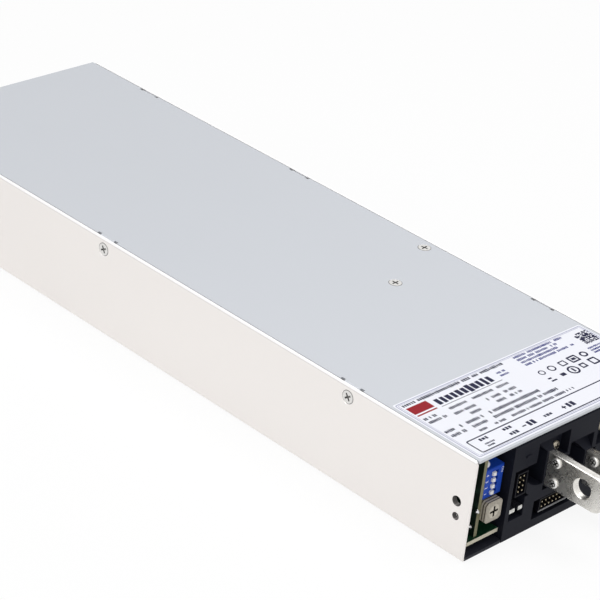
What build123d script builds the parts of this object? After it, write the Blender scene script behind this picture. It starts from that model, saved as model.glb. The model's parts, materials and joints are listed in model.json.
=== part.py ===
from build123d import *
from math import cos, radians, sin
import os

# Enclosed switching power supply, one rack unit high, with two output tabs.
# X runs along the case and the output end faces +X.  Y runs across it, and the
# near wall, where the switch block sits, is at -Y.  Z is up, and the underside
# of the case is z = 0.  Sizes are in millimetres.

# Case
length = 326.0
width = 107.0
height = 41.0
sheet = 1.0
bend_radius = 1.6
free_corner_radius = 2.0
plate_setback = 0.6
inner_gap = 0.3

# Cover and its folded tabs
cover_side_gap = 0.35
cover_tab_length = 7.6
cover_tab_drop = 9.0
relief_length = 1.9
relief_depth = 1.1
side_screws_from_output = (61.0, 193.7)
side_screw_from_input = 38.7
side_screw_drop = 4.65
top_screws_from_sink_middle = (-12.9, 0.8)
thread_gap = 0.05
edge_break = 0.3
slip_gap = 0.1
fold_round = 0.8

# Countersunk screws of the case
screw_diameter = 3.0
screw_head = 5.6
screw_head_height = 0.8
side_screw_length = 5.0

# Tapped holes with drawn collars
mount_thread = 4.0
small_thread = 3.0
collar_wall = 0.9
collar_height = 1.2
mount_from_end = 6.2
mount_height = 22.3
small_from_end = 5.7
small_height = 16.4
base_mount_spacing_x = 257.0
base_mount_spacing_y = 87.0

# Rating label
label_thickness = 0.12
label_from_end = 1.0
label_length = 41.6
label_margin = 2.6

# Bottom film
film = 0.4
film_margin = 0.6
film_front_gap = 0.1
film_back_gap = 1.0
film_hole_gap = 1.2

# Main board on its standoffs
board = 1.6
board_underside = 4.1
board_front_gap = 2.0
board_near_gap = 4.0
board_far_gap = 4.0
standoff_flats = 5.0
board_screw_head = 5.4
board_screw_head_height = 1.8
board_screw_grip = 2.2
board_hole_gap = 0.2
board_behind_housing = 0.3
board_fan_gap = 1.5
signal_board_margin = 1.6
signal_board_rise = 2.5
standoff_row_inset = 9.0
standoff_from_output = 54.0
standoff_past_sink = 4.0
standoffs_from_input = (110.0, 64.0)

# Upright control board
control_near_gap = 8.3
control_front_gap = 3.0
control_length = 42.0
control_top_gap = 1.6

# Switch block and trimmer
dip_ways = 4
dip_pitch = 2.54
dip_end_wall = 0.9
dip_reach = 9.5
dip_depth = 6.4
slider_travel = 1.8
slider_length = 1.6
slider_width = 1.3
slider_proud = 0.9
slider_depth = 1.8
slider_gap = 0.08
slider_from_board = 4.1
trimmer_size = 8.4
trimmer_depth = 6.2
trimmer_front_gap = 0.3
stack_low_share = 0.55
trimmer_dip_gap = 0.3
dip_lamp_gap = 0.34
trimmer_corner = 1.1
rotor_diameter = 5.4
rotor_depth = 2.0
rotor_fit = 0.05
rotor_slot = 0.9
lamp_diameter = 2.6
lamp_front_gap = 3.4
lamp_length = 6.0

# Moulded terminal housing
housing_near = 20.5
housing_depth = 16.0
housing_wall = 1.3
housing_face = 2.0
housing_flange = 2.0
housing_far_gap = 3.2
housing_top_chamfer = 1.0
well_depth = 8.0
window_depth = 3.6

# Signal header, upright, in its shaft
shaft_near = 22.6
shaft_width = 7.6
shaft_bottom = 8.0
shaft_top = 28.5
header_pitch = 2.0
signal_ways = 4
signal_centre_height = 22.1
signal_header_shift = 0.7
header_side = 1.8
header_wall = 0.5
header_front_gap = 0.1
pin_size = 0.5
pin_front_gap = 0.3
lens_widths = (3.3, 2.2)
lens_height = 1.6
lens_base = 10.7
lens_front_gap = 0.2
lens_gap = 0.15

# Control header, level, in its opening
opening_near = 36.0
opening_width = 22.8
opening_bottom = 3.6
opening_height = 7.8
control_ways = 7
control_header_height = 8.15
mark_length = 3.0
mark_height = 2.4
mark_depth = 1.5
mark_feet = ((29.2, 15.7), (39.5, 14.75))
header_hollow = 6.0
pin_length = 7.5

# Output tabs
tab_thickness = 3.0
tab_width = 13.9
tab_reach = 26.0
tab_corner = 5.0
tab_root = 6.0
tab_hole = 7.5
tab_hole_out = 16.1
tab_hole_chamfer = 0.3
tab_near = (40.2, 62.7)
tab_rise = (3.1, -4.7)
tab_slot_gap = 0.1
boss_wall = 1.2
boss_edge = 0.4
bar_wall = 1.2
tab_screw_out = 3.8
tab_screw_spacing = 8.2
tab_screw_diameter = 2.5
tab_screw_head = 3.9
tab_screw_head_height = 1.0
bar_thickness = 1.6
bar_width = 11.8
bar_reach = 6.8
bar_behind_housing = 6.0
bar_leg = 4.0
tab_screw_proud = 1.0

# Wells beside and above the tabs
slot_well_width = 5.3
slot_well_radius = 12.0
slot_well_bottom = 18.0
slot_foot_rise = 4.0
slot_well_drop = 4.8
window_width = 8.2
window_height = 9.7
window_drop = 4.7
far_window_near = 67.2
far_window_width = 10.9
far_window_height = 14.0
far_window_drop = 3.4
between_well_drop = 11.0
between_well_bottom = 13.0
between_well_radius = 5.0
window_rib = 1.4
well_screw = 2.5
well_screw_head = 4.0
well_screw_head_height = 1.2
well_screw_reach = 4.3
well_screw_offsets = ((4.8, 2.3), (6.2, 4.4))
hood_rise = 4.6
hood_foot = 3.6
hood_far = 4.6
hood_near = 4.4
hood_slope = (0.8, 0, 0.6)
vent_start = 81.0
vent_pitch = 3.9
vent_width = 2.2
vent_bottom = 4.0
vent_top_gap = 3.9
nib_near = 27.2
nib_length = 2.4
nib_height = 0.8
nib_drop = 1.4
nib_proud = 0.4

# Fans at the input end
fan_depth = 28.0
fan_count = 2
fan_block_gap = 0.5
fan_far_gap = 2.6
fan_between_gap = 0.6
fan_base = 1.3
fan_top_gap = 0.7
fan_wall = 0.8
fan_corner = 3.0
fan_screw_inset = 3.0
fan_hole = 2.8
hub_diameter = 19.0
hub_length = 20.0
hub_from_front = 1.2
hub_wall = 1.2
blade_count = 7
blade_tip_gap = 0.8
blade_thickness = 1.0
blade_chord = 12.0
blade_root_pitch = 52.0
blade_tip_pitch = 38.0
motor_base_diameter = 20.0
motor_base_thickness = 3.0
strut_width = 2.4
strut_count = 4
strut_root = 1.0
fan_screw_length = 8.0
hub_corner = 1.5
shaft_end_gap = 0.5
blade_bow = 1.4
blade_root_sink = 0.3
shaft_diameter = 3.0
shaft_fit = 0.05
fan_wall_gap = 0.2
guard_ring_count = 3
guard_slot = 3.0
guard_web = 1.6
guard_spoke = 1.8

# Input terminal block
input_poles = 3
input_pitch = 7.6
input_near = 2.9
input_depth = 17.0
input_wall = 1.0
input_base_height = 9.0
input_barrier_height = 17.0
input_screw = 3.5
input_screw_head = 6.0
input_screw_head_height = 2.2
input_screw_length = 6.5
input_screw_back = 7.6
input_slope = 3.0
input_recess = 1.4
input_foot = 3.0
clamp_gap = 0.2
input_front_gap = 0.6
clamp_thickness = 1.0

# Parts on the main board, each place given from the output end and the near wall
bulk_headroom = 4.3
bulk_length = 44.0
can_corner = 1.0
groove_height = 3.2
groove_half = 0.9
groove_depth = 0.6
bulk_near = 6.0
bulk_gap = 1.2
bulk_from_input = 114.0
output_cap_diameter = 12.5
output_cap_height = 25.0
output_cap_gap = 0.6
output_cap_near = 23.8
output_cap_from_output = 32.0
transformer_length = 42.0
transformer_width = 34.0
transformer_headroom = 6.3
transformer_limb = 5.0
transformer_gap = 0.3
core_width = 20.0
coil_corner = 4.0
transformer_start = 75.0
transformer_spacing = 8.0
transformer_near = 42.0
heatsink_base = 5.0
heatsink_fin = 1.5
heatsink_fin_count = 5
fin_clearance = 6.0
heatsink_top_gap = 0.3
sink_from_output = 70.0
sink_gap = 7.0
secondary_sink_near = 70.0
edge_sink_inset = 6.0
primary_sink_length = 34.0
primary_sink_near = 60.0
primary_from_input = 136.0
transistor_width = 15.6
transistor_height = 20.0
transistor_thickness = 4.6
transistor_lift = 4.0
transistor_pitch = 20.0
output_choke = (26.0, 12.0, 14.0)
output_choke_from_output = 56.0
output_choke_near = 50.0
choke_corner = 2.5
boost_choke = (33.0, 16.0, 20.0)
boost_choke_near = 26.0
filter_choke = (26.0, 11.0, 15.0)
filter_choke_near = 20.0
filter_from_input = 48.0
film_cap_size = (11.0, 26.0, 19.0)
film_cap_offset = 7.0
relay_size = (20.0, 13.0, 15.5)
fuse_diameter = 6.3
fuse_length = 21.0
fuse_clip = 0.6
fuse_clip_width = 5.0
fuse_clip_inset = 3.0
fuse_lift = 1.0
leg_width = 1.0
leg_thickness = 0.6
film_cap_corner = 0.8

x_output = length / 2
x_input = -length / 2
board_top = board_underside + board
cover_under = height - sheet
housing_top = cover_under - slip_gap
tab_centre_height = [(sheet + film + housing_top) / 2 + rise for rise in tab_rise]

# The lamp, the switch block and the trimmer stand in one stack on the control board
control_near = control_near_gap + board
control_top = cover_under - control_top_gap
dip_height = dip_ways * dip_pitch + 2 * dip_end_wall
stack_height = trimmer_size + trimmer_dip_gap + dip_height + dip_lamp_gap + lamp_diameter
trimmer_base = board_top + stack_low_share * (cover_under - board_top - stack_height)
dip_base = trimmer_base + trimmer_size + trimmer_dip_gap
lamp_height = dip_base + dip_height + dip_lamp_gap + lamp_diameter / 2

# Heatsinks and the parts that follow their places
primary_from_output = length - primary_from_input
primary_start = primary_from_output - primary_sink_length / 2
sink_length = primary_start - sink_gap - sink_from_output
sink_middle = sink_from_output + sink_length / 2
sink_nears = (secondary_sink_near, width - edge_sink_inset)
transformer_height = cover_under - board_top - transformer_headroom
bulk_diameter = cover_under - board_top - bulk_headroom
input_far = input_near + input_poles * input_pitch + input_wall
front = Plane(origin=(x_output, 0, 0), x_dir=(0, 1, 0), z_dir=(1, 0, 0))


def across(from_near):
    """The Y of a place given from the outer face of the near wall."""
    return from_near - width / 2


def behind(depth):
    """The X of a place given as a depth behind the output end."""
    return x_output - depth


def block(x0, x1, y0, y1, z0, z1):
    """A box between two corners."""
    return Pos((x0 + x1) / 2, (y0 + y1) / 2, (z0 + z1) / 2) * Box(x1 - x0, y1 - y0, z1 - z0)


def face_rect(y0, y1, z0, z1):
    """A rectangle on the output end, from near-wall distances and heights."""
    return Pos(across((y0 + y1) / 2), (z0 + z1) / 2) * Rectangle(y1 - y0, z1 - z0)


def sink(profile, start, depth):
    """A prism behind the output end, from a start depth inwards."""
    return Pos(-start, 0, 0) * extrude(front * profile, -depth)


def rod(diameter, start, direction, reach):
    """A round bar from a start point along a direction."""
    return extrude(Plane(origin=start, z_dir=direction) * Circle(diameter / 2), reach)


def save(shape, name):
    """Writes one node, as one solid or a group of separate solids."""
    export_step(shape, f"parts/{name}.step")


def countersunk_screw(diameter, head, head_height, reach):
    """A flat-head screw along -Z, its face at z = 0."""
    cone = Pos(0, 0, -head_height / 2) * Cone(diameter / 2, head / 2, head_height)
    shank = rod(diameter, (0, 0, 0), (0, 0, -1), reach)
    return cone + shank


def countersink(diameter, head, head_height, reach, gap):
    """The hole that such a screw sits in, a gap larger all round."""
    cone = Pos(0, 0, -head_height / 2) * Cone(diameter / 2 + gap, head / 2 + gap, head_height)
    above = Pos(0, 0, 0.5) * Cylinder(head / 2 + gap, 1.0)
    return cone + above + rod(diameter + 2 * gap, (0, 0, 0), (0, 0, -1), reach)


def side_place(from_output, up, side):
    """The place of something on a side wall, with local +Z pointing outwards."""
    return Plane(origin=(behind(from_output), side * width / 2, up), x_dir=(1, 0, 0), z_dir=(0, side, 0))


def side_screw_depths():
    """The depth of each side screw behind the output end."""
    return (*side_screws_from_output, length - side_screw_from_input)


def side_screw_places():
    """Every screw of the side walls, three on each side."""
    up = height - side_screw_drop
    return [side_place(depth, up, side) for side in (-1, 1) for depth in side_screw_depths()]


def top_screw_places():
    """The depth and the near-wall distance of each cover screw, one over each long heatsink."""
    return [(sink_middle + shift, near) for shift, near in zip(top_screws_from_sink_middle, sink_nears)]


def drawn_hole(thread):
    """The collar that a tapped hole is drawn into, along -Z below a sheet's outer face."""
    return Pos(0, 0, -sheet - collar_height / 2) * Cylinder(thread / 2 + collar_wall, collar_height)


def tapped(thread):
    """The bore of a tapped hole, through the sheet and its collar."""
    reach = sheet + collar_height
    return Pos(0, 0, -reach / 2) * Cylinder(thread / 2, reach + 0.2)


def tapped_places():
    """The tapped holes of the case, each with its thread."""
    places = []
    for side in (-1, 1):
        for from_output in (mount_from_end, length - mount_from_end):
            places.append((side_place(from_output, mount_height, side), mount_thread))
        for from_output in (small_from_end, length - small_from_end):
            places.append((side_place(from_output, small_height, side), small_thread))
    for x in (-base_mount_spacing_x / 2, base_mount_spacing_x / 2):
        for y in (-base_mount_spacing_y / 2, base_mount_spacing_y / 2):
            places.append((Plane(origin=(x, y, 0), x_dir=(1, 0, 0), z_dir=(0, 0, -1)), mount_thread))
    return places


def standoff_places():
    """The X and Y of each standoff under the main board."""
    depths = [standoff_from_output, primary_start - sink_gap + standoff_past_sink]
    depths += [length - from_input for from_input in standoffs_from_input]
    rows = (standoff_row_inset, width - standoff_row_inset)
    return [(behind(depth), across(row)) for depth in depths for row in rows]


def fan_pitch():
    """The spacing of the fans, which share the room beside the input block."""
    return (width - input_far - fan_block_gap - fan_far_gap) / fan_count


def fan_size():
    """The side of a fan frame, as large as the room beside it and above it allows."""
    return min(fan_pitch() - fan_between_gap, cover_under - fan_base - fan_top_gap)


def fan_bore():
    """The bore of a fan frame."""
    return fan_size() - 2 * fan_wall


def fan_centres():
    """The Y and Z of each fan's axis."""
    first = input_far + fan_block_gap + fan_size() / 2
    return [(across(first + i * fan_pitch()), fan_base + fan_size() / 2) for i in range(fan_count)]


def fan_screw_places():
    """The Y and Z of each fan screw in the end wall."""
    half = fan_size() / 2 - fan_screw_inset
    return [(y + a, z + b) for y, z in fan_centres() for a in (-half, half) for b in (-half, half)]


def guard_opening():
    """One fan opening of the end wall: ring slots broken by spokes."""
    slots = Sketch()
    for i in range(guard_ring_count):
        outer = fan_bore() / 2 - i * (guard_slot + guard_web)
        slots += Circle(outer) - Circle(outer - guard_slot)
    for turn in (45, 135):
        slots -= Rot(0, 0, turn) * Rectangle(fan_size(), guard_spoke)
    return slots


def chassis():
    """Bottom, both side walls and the input end wall, folded from one sheet."""
    outer = Plane.YZ * Pos(0, height / 2) * Rectangle(width, height)
    trough = extrude(outer, length / 2, both=True)
    edges = trough.edges().filter_by(Axis.X).group_by(Axis.Z)[0]
    trough = fillet(edges, bend_radius)
    inner = Plane.YZ * Pos(0, height / 2 + sheet) * Rectangle(width - 2 * sheet, height)
    hollow = extrude(inner, length / 2 + 1, both=True)
    inner_edges = hollow.edges().filter_by(Axis.X).group_by(Axis.Z)[0]
    trough -= fillet(inner_edges, bend_radius - sheet)

    shell = trough - block(behind(plate_setback), x_output, across(sheet), across(width - sheet), 0, sheet)
    ends = shell.edges().filter_by(Axis.Y).group_by(Axis.Z)[-1]
    shell = fillet(ends.filter_by(lambda edge: abs(edge.length - sheet) < 0.01), free_corner_radius)

    wall = block(x_input, x_input + sheet, across(sheet), across(width - sheet), sheet, cover_under)
    wall -= block(x_input - 1, x_input + sheet + 1, across(sheet), across(input_far + inner_gap),
                  board_underside - 1, cover_under + 1)
    for y, z in fan_centres():
        opening = Plane(origin=(x_input, y, z), x_dir=(0, 1, 0), z_dir=(1, 0, 0)) * guard_opening()
        wall -= extrude(opening, sheet * 2, both=True)
    for y, z in fan_screw_places():
        place = Plane(origin=(x_input, y, z), z_dir=(-1, 0, 0))
        wall -= place * countersink(fan_hole, screw_head, screw_head_height, 2 * sheet, thread_gap)
    shell += wall

    for place, thread in tapped_places():
        shell += place * drawn_hole(thread)
    for place, thread in tapped_places():
        shell -= place * tapped(thread)
    for place in side_screw_places():
        shell -= place * countersink(screw_diameter, screw_head, screw_head_height, 1.5 * sheet, thread_gap)
    return shell


def top_cover():
    """A flat lid with three folded tabs along each side."""
    half = width / 2 - sheet - cover_side_gap
    lid = block(x_input, x_output, -half, half, cover_under, height)
    outside = half + 1
    for depth in side_screw_depths():
        middle = behind(depth)
        for side in (-1, 1):
            outer, inner = sorted((side * half, side * (half - sheet)))
            tab = block(middle - cover_tab_length / 2, middle + cover_tab_length / 2, outer, inner,
                        height - cover_tab_drop, cover_under)
            lid += tab
            for end in (-1, 1):
                start = middle + end * cover_tab_length / 2
                x0, x1 = sorted((start, start + end * relief_length))
                y0, y1 = sorted((side * (half - relief_depth), side * outside))
                lid -= block(x0, x1, y0, y1, cover_under - 1, height + 1)
    folds = lid.edges().filter_by(Axis.X).filter_by(lambda edge: abs(edge.length - cover_tab_length) < 0.01)
    folds = folds.filter_by(lambda edge: abs(edge.center().Z - height) < 0.01)
    lid = fillet(folds, fold_round)
    for place in side_screw_places():
        lid -= place * rod(screw_diameter + 2 * thread_gap, (0, 0, 0), (0, 0, -1), side_screw_length)
    for depth, near in top_screw_places():
        hole = countersink(screw_diameter, screw_head, screw_head_height, 2 * sheet, thread_gap)
        lid -= Pos(behind(depth), across(near), height) * hole
    return lid


def label():
    """The film stuck on the cover at the output end."""
    near = across(label_margin)
    outline = Rectangle(label_length, width - 2 * label_margin)
    outline = fillet(outline.vertices(), 1.0)
    middle = behind(label_from_end + label_length / 2)
    return Pos(middle, near + (width - 2 * label_margin) / 2, height) * extrude(outline, label_thickness)


def side_screws():
    """The screws that hold the tabs of the cover, through the side walls."""
    screw = countersunk_screw(screw_diameter, screw_head, screw_head_height, side_screw_length)
    return Compound(children=[place * screw for place in side_screw_places()])


def top_cover_screws():
    """The two screws of the cover, down into the heatsinks' brackets."""
    screw = countersunk_screw(screw_diameter, screw_head, screw_head_height, side_screw_length)
    places = [Pos(behind(depth), across(near), height) for depth, near in top_screw_places()]
    return Compound(children=[place * screw for place in places])


def bottom_film():
    """The insulating film over the bottom, folded down over its front edge."""
    near, far = across(sheet + film_margin), across(width - sheet - film_margin)
    sheet_top = sheet + film
    back = x_input + sheet + fan_wall_gap + fan_depth + film_back_gap
    flat = block(back, behind(film_front_gap), near, far, sheet, sheet_top)
    lip = block(behind(film_front_gap + film), behind(film_front_gap), near,
                across(housing_near - inner_gap), film_front_gap, sheet_top)
    flat -= block(behind(film_front_gap + film + slip_gap), x_output, across(housing_near - inner_gap),
                  far, 0, height)
    result = flat + lip
    for x, y in standoff_places():
        result -= Pos(x, y, sheet) * Cylinder(standoff_flats / 2 + film_hole_gap, 4 * film)
    for place, thread in tapped_places():
        if abs(place.z_dir.Z) > 0.5:
            hole = Cylinder(thread / 2 + collar_wall + film_hole_gap, 4 * film)
            result -= place * Pos(0, 0, -sheet) * hole
    return result


def main_board():
    """The main board, with a tongue beside the terminal housing and one under the input block."""
    front_edge = behind(housing_depth + board_behind_housing)
    fan_back = x_input + sheet + fan_wall_gap + fan_depth + board_fan_gap
    near, far = across(board_near_gap), across(width - board_far_gap)
    body = block(fan_back, front_edge, near, far, board_underside, board_top)
    tongue = block(front_edge - sheet, behind(board_front_gap), near, across(housing_near - inner_gap),
                   board_underside, board_top)
    input_tongue = block(x_input + sheet + board_fan_gap, fan_back + sheet, near, across(input_far),
                         board_underside, board_top)
    whole = body + tongue + input_tongue
    for x, y in standoff_places():
        whole -= Pos(x, y, board_top) * Cylinder(screw_diameter / 2 + board_hole_gap, 3 * board)
    return whole


def signal_board():
    """The small upright board behind the housing that carries the signal header and the lenses."""
    back = housing_depth + board
    return block(behind(back), behind(housing_depth), across(shaft_near - signal_board_margin),
                 across(shaft_near + shaft_width + signal_board_margin), board_top,
                 shaft_top + signal_board_rise)


def board_standoffs():
    """Hexagonal standoffs between the bottom plate and the main board."""
    rise = board_underside - sheet
    hexagon = RegularPolygon(standoff_flats / 2, 6, major_radius=False)
    post = extrude(hexagon, rise)
    post -= Pos(0, 0, rise) * Cylinder(screw_diameter / 2 + thread_gap, 2 * rise)
    return Compound(children=[Pos(x, y, sheet) * post for x, y in standoff_places()])


def board_screws():
    """Domed screws that hold the main board on its standoffs."""
    screw = pan_screw(screw_diameter, board_screw_head, board_screw_head_height, board + board_screw_grip)
    return Compound(children=[Pos(x, y, board_top) * screw for x, y in standoff_places()])


def control_board():
    """The upright board that carries the switch block and the trimmer."""
    return block(behind(control_front_gap + control_length), behind(control_front_gap),
                 across(control_near_gap), across(control_near), board_top, control_top)


def slider_heights():
    """The Z of each slider of the switch block."""
    first = dip_base + dip_end_wall + dip_pitch / 2
    return [first + i * dip_pitch for i in range(dip_ways)]


def dip_switch_body():
    """The case of the switch block, with a slot for each slider."""
    y0 = control_near
    case = block(behind(control_front_gap + dip_depth), behind(control_front_gap),
                 across(y0), across(y0 + dip_reach), dip_base, dip_base + dip_height)
    rim = case.faces().sort_by(Axis.X)[-1].edges()
    case = chamfer(rim, edge_break)
    run = slider_length + slider_travel + 2 * slider_gap
    for z in slider_heights():
        start = y0 + slider_from_board - slider_length / 2 - slider_gap
        case -= block(behind(control_front_gap + slider_depth + slider_gap), x_output,
                      across(start), across(start + run),
                      z - slider_width / 2 - slider_gap, z + slider_width / 2 + slider_gap)
    return case


def dip_slider(z):
    """One slider at its rest end, with a wedge-shaped finger tip."""
    middle = control_near + slider_from_board
    front_x = behind(control_front_gap)
    stem = block(front_x - slider_depth, front_x + slider_proud, across(middle - slider_length / 2),
                 across(middle + slider_length / 2), z - slider_width / 2, z + slider_width / 2)
    tip = stem.faces().sort_by(Axis.X)[-1].edges().filter_by(Axis.Z)
    return chamfer(tip, edge_break)


def trimmer_place():
    """The Y and Z of the trimmer's centre."""
    return across(control_near + trimmer_size / 2), trimmer_base + trimmer_size / 2


def trimmer_body():
    """The square case of the trimmer with cut corners and a bore for its rotor."""
    y, z = trimmer_place()
    outline = Rectangle(trimmer_size, trimmer_size)
    outline = chamfer(outline.vertices(), trimmer_corner)
    case = sink(Pos(y, z) * outline, trimmer_front_gap, trimmer_depth)
    rim = case.faces().sort_by(Axis.X)[-1].edges()
    case = chamfer(rim, edge_break)
    hole = Circle(rotor_diameter / 2 + rotor_fit)
    return case - sink(Pos(y, z) * hole, trimmer_front_gap, rotor_depth + rotor_fit)


def trimmer_rotor():
    """The round rotor with a cross slot for a screwdriver."""
    y, z = trimmer_place()
    disc = sink(Pos(y, z) * Circle(rotor_diameter / 2), trimmer_front_gap, rotor_depth)
    cross = Rectangle(0.8 * rotor_diameter, rotor_slot) + Rectangle(rotor_slot, 0.8 * rotor_diameter)
    return disc - sink(Pos(y, z) * cross, trimmer_front_gap, rotor_depth / 2)


def board_lamp():
    """The small lamp above the switch block."""
    y = control_near + lamp_diameter / 2
    body = sink(Pos(across(y), lamp_height) * Circle(lamp_diameter / 2), lamp_front_gap, lamp_length)
    rim = body.edges().group_by(Axis.X)[-1]
    return fillet(rim, 0.45 * lamp_diameter)


def slot_well():
    """The well beside the negative tab, with a round foot that runs into the header shaft."""
    near, far = tab_near[0] - boss_wall - slot_well_width, tab_near[0] - boss_wall
    high = slot_well_bottom + slot_well_radius
    foot = Pos(across(far), high) * Circle(slot_well_radius)
    foot &= face_rect(shaft_near + shaft_width, far, slot_well_bottom, shaft_top)
    return foot + face_rect(near, far, high - slot_foot_rise, height - slot_well_drop)


def sleeve_far(which):
    """The far side of the sleeve around one tab and its bar, from the near wall."""
    return tab_near[which] + tab_thickness + bar_thickness + bar_wall


def between_well():
    """The well between the two tabs, below the rib of the first window."""
    near = sleeve_far(0)
    far = tab_near[1] - boss_wall
    top = height - between_well_drop
    outline = face_rect(near, far, between_well_bottom, top)
    foot = outline.vertices().group_by(Axis.Y)[0]
    outline = fillet(foot, between_well_radius)
    window_near, window_bottom = window_corners()[0]
    far = window_near + window_width + window_rib
    return outline - face_rect(near, far, window_bottom - window_rib, top)


def window_corners():
    """The near bottom corner of each square well, from the near wall and the underside."""
    first = (tab_near[0] - boss_wall + hood_foot, height - window_drop - window_height)
    second = (far_window_near, height - far_window_drop - far_window_height)
    return first, second


def windows():
    """The square wells above the negative tab and past the positive tab."""
    sizes = ((window_width, window_height), (far_window_width, far_window_height))
    found = Sketch()
    for (near, low), (wide, tall) in zip(window_corners(), sizes):
        found += face_rect(near, near + wide, low, low + tall)
    return found


def boss_profile(which):
    """The sleeve of the housing around one tab, in the plane of the output end."""
    centre = tab_centre_height[which]
    half = tab_width / 2 + tab_slot_gap + boss_edge
    return face_rect(tab_near[which] - boss_wall, sleeve_far(which), centre - half, centre + half)


def tab_slot(which):
    """The slot that one tab and its bar come out of."""
    near, centre = tab_near[which], tab_centre_height[which]
    half = tab_width / 2 + tab_slot_gap
    far = near + tab_thickness + bar_thickness + tab_slot_gap
    return face_rect(near - tab_slot_gap, far, centre - half, centre + half)


def hood_low(which):
    """The height where the hood of a tab starts, on top of its sleeve."""
    return tab_centre_height[which] + tab_width / 2 + tab_slot_gap + boss_edge


def before_slope(which):
    """Everything in front of and above the slope of a hood."""
    slope = Plane(origin=(x_output, 0, hood_low(which)), x_dir=(0, 1, 0), z_dir=hood_slope)
    return slope * Pos(0, 0, width) * Box(4 * width, 2 * width, 2 * width)


def hood(which):
    """The sloped rib that leads from the sleeve of a tab up to the roof."""
    near = tab_near[which] - boss_wall
    low = hood_low(which)
    high = low + hood_rise
    outline = Polygon((across(near), low), (across(near + hood_foot), low), (across(near + hood_far), high),
                      (across(near - hood_near), high), align=None)
    return sink(outline, 0, well_depth) - before_slope(which)


def hood_clearances():
    """The outlines above the hoods, where the face is cut back to their slopes."""
    found = []
    for which, drop in enumerate((slot_well_drop, between_well_drop)):
        near = tab_near[which] - boss_wall
        found.append(face_rect(near - hood_near, near + hood_foot, hood_low(which), height - drop))
    return found


def well_screw_places():
    """The Y and Z of the screws at the floors of the two square wells."""
    return [(across(near + out), bottom + up)
            for (near, bottom), (out, up) in zip(window_corners(), well_screw_offsets)]


def header_openings():
    """The shaft of the signal header and the opening of the control header."""
    shaft = face_rect(shaft_near, shaft_near + shaft_width, shaft_bottom, shaft_top)
    level = face_rect(opening_near, opening_near + opening_width, opening_bottom,
                      opening_bottom + opening_height)
    return shaft, level


def pin_one_marks():
    """The small triangles beside the first pin of each header."""
    marks = Sketch()
    for near, low in mark_feet:
        tip = (across(near + mark_length), low)
        marks += Polygon((across(near), low), tip, (across(near), low + mark_height), align=None)
    return marks


def vents():
    """Upright air slots in the plain part of the housing, as many as fit there."""
    room = width - sheet - housing_far_gap - housing_wall - vent_start
    tall = housing_top - vent_top_gap - vent_bottom
    slot = SlotOverall(tall, vent_width, rotation=90)
    nears = [vent_start + i * vent_pitch for i in range(int(room / vent_pitch))]
    return [Pos(across(near + vent_width / 2), vent_bottom + tall / 2) * slot for near in nears]


def terminal_housing():
    """The black moulding of the output end: face, skirt, wells with their walls, and tab sleeves."""
    far_body = width - sheet - housing_far_gap
    far_flange = width - sheet - inner_gap
    foot = sheet + film
    body = sink(face_rect(housing_near, far_body, foot, housing_top), 0, housing_depth)
    flange = sink(face_rect(housing_near, far_flange, foot, housing_top), 0, housing_flange)
    lip = sink(face_rect(housing_near, far_flange, film_front_gap, foot), 0, film)
    solid = body + flange + lip
    roof_edge = solid.edges().filter_by(Axis.Y).group_by(Axis.Z)[-1].sort_by(Axis.X)[-1]
    solid = chamfer(roof_edge, housing_top_chamfer)

    shaft, level = header_openings()
    wells = slot_well() + between_well()
    cleared = hood_clearances()
    deep = wells + cleared[0] + cleared[1]
    through = shaft + level
    sleeves = boss_profile(0) + boss_profile(1)
    kept = offset(deep + windows() + through, housing_wall, kind=Kind.INTERSECTION) + sleeves
    inside = face_rect(housing_near + housing_wall, far_body - housing_wall, foot + housing_wall,
                       housing_top - housing_wall)
    behind_windows = offset(windows(), housing_wall, kind=Kind.INTERSECTION)
    solid -= sink(inside - kept, housing_face, housing_depth)
    solid -= sink(inside & kept, well_depth + housing_wall, housing_depth)
    shallow = inside & behind_windows
    shallow -= offset(deep + through, housing_wall, kind=Kind.INTERSECTION) + sleeves
    solid -= sink(shallow, window_depth + housing_wall, housing_depth)
    solid -= sink(wells, -1, well_depth + 1)
    solid -= sink(windows(), -1, window_depth + 1)
    for which in (0, 1):
        solid += hood(which)
        solid -= sink(cleared[which], -1, well_depth + 1) & before_slope(which)
    solid -= sink(through, -1, housing_depth + 2)
    solid -= sink(tab_slot(0) + tab_slot(1), -1, housing_depth + 2)
    solid -= sink(pin_one_marks(), 0, mark_depth)
    for slot in vents():
        solid -= sink(slot, -1, housing_face + 2)
    nib_low = (shaft_top + housing_top) / 2 - nib_drop
    solid += sink(face_rect(nib_near, nib_near + nib_length, nib_low, nib_low + nib_height), -nib_proud,
                  nib_proud + inner_gap)
    for y, z in well_screw_places():
        solid -= sink(Pos(y, z) * Circle(well_screw / 2 + thread_gap), 0, housing_depth)
    return solid


def output_tab(which):
    """One tinned copper output tab, rounded at its end, with an eye and two root holes."""
    near, centre = tab_near[which], tab_centre_height[which]
    plane = Plane(origin=(x_output, across(near), centre), x_dir=(1, 0, 0), z_dir=(0, -1, 0))
    outline = Pos((tab_reach - tab_root) / 2, 0) * Rectangle(tab_reach + tab_root, tab_width)
    end = outline.vertices().group_by(Axis.X)[-1]
    outline = fillet(end, tab_corner)
    plate = extrude(plane * outline, -tab_thickness)
    rims = plate.faces().filter_by(Axis.Y).edges()
    plate = chamfer(rims, edge_break)
    plate -= plane * Pos(tab_hole_out, 0) * Cylinder(tab_hole / 2, 4 * tab_thickness)
    eye = plate.edges().filter_by(GeomType.CIRCLE)
    eye = eye.filter_by(lambda edge: abs(edge.radius - tab_hole / 2) < 0.01)
    plate = chamfer(eye, tab_hole_chamfer)
    bore = Cylinder(tab_screw_diameter / 2 + thread_gap, 4 * tab_thickness)
    for up in (-tab_screw_spacing / 2, tab_screw_spacing / 2):
        plate -= plane * Pos(tab_screw_out, up) * bore
    return plate


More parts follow.
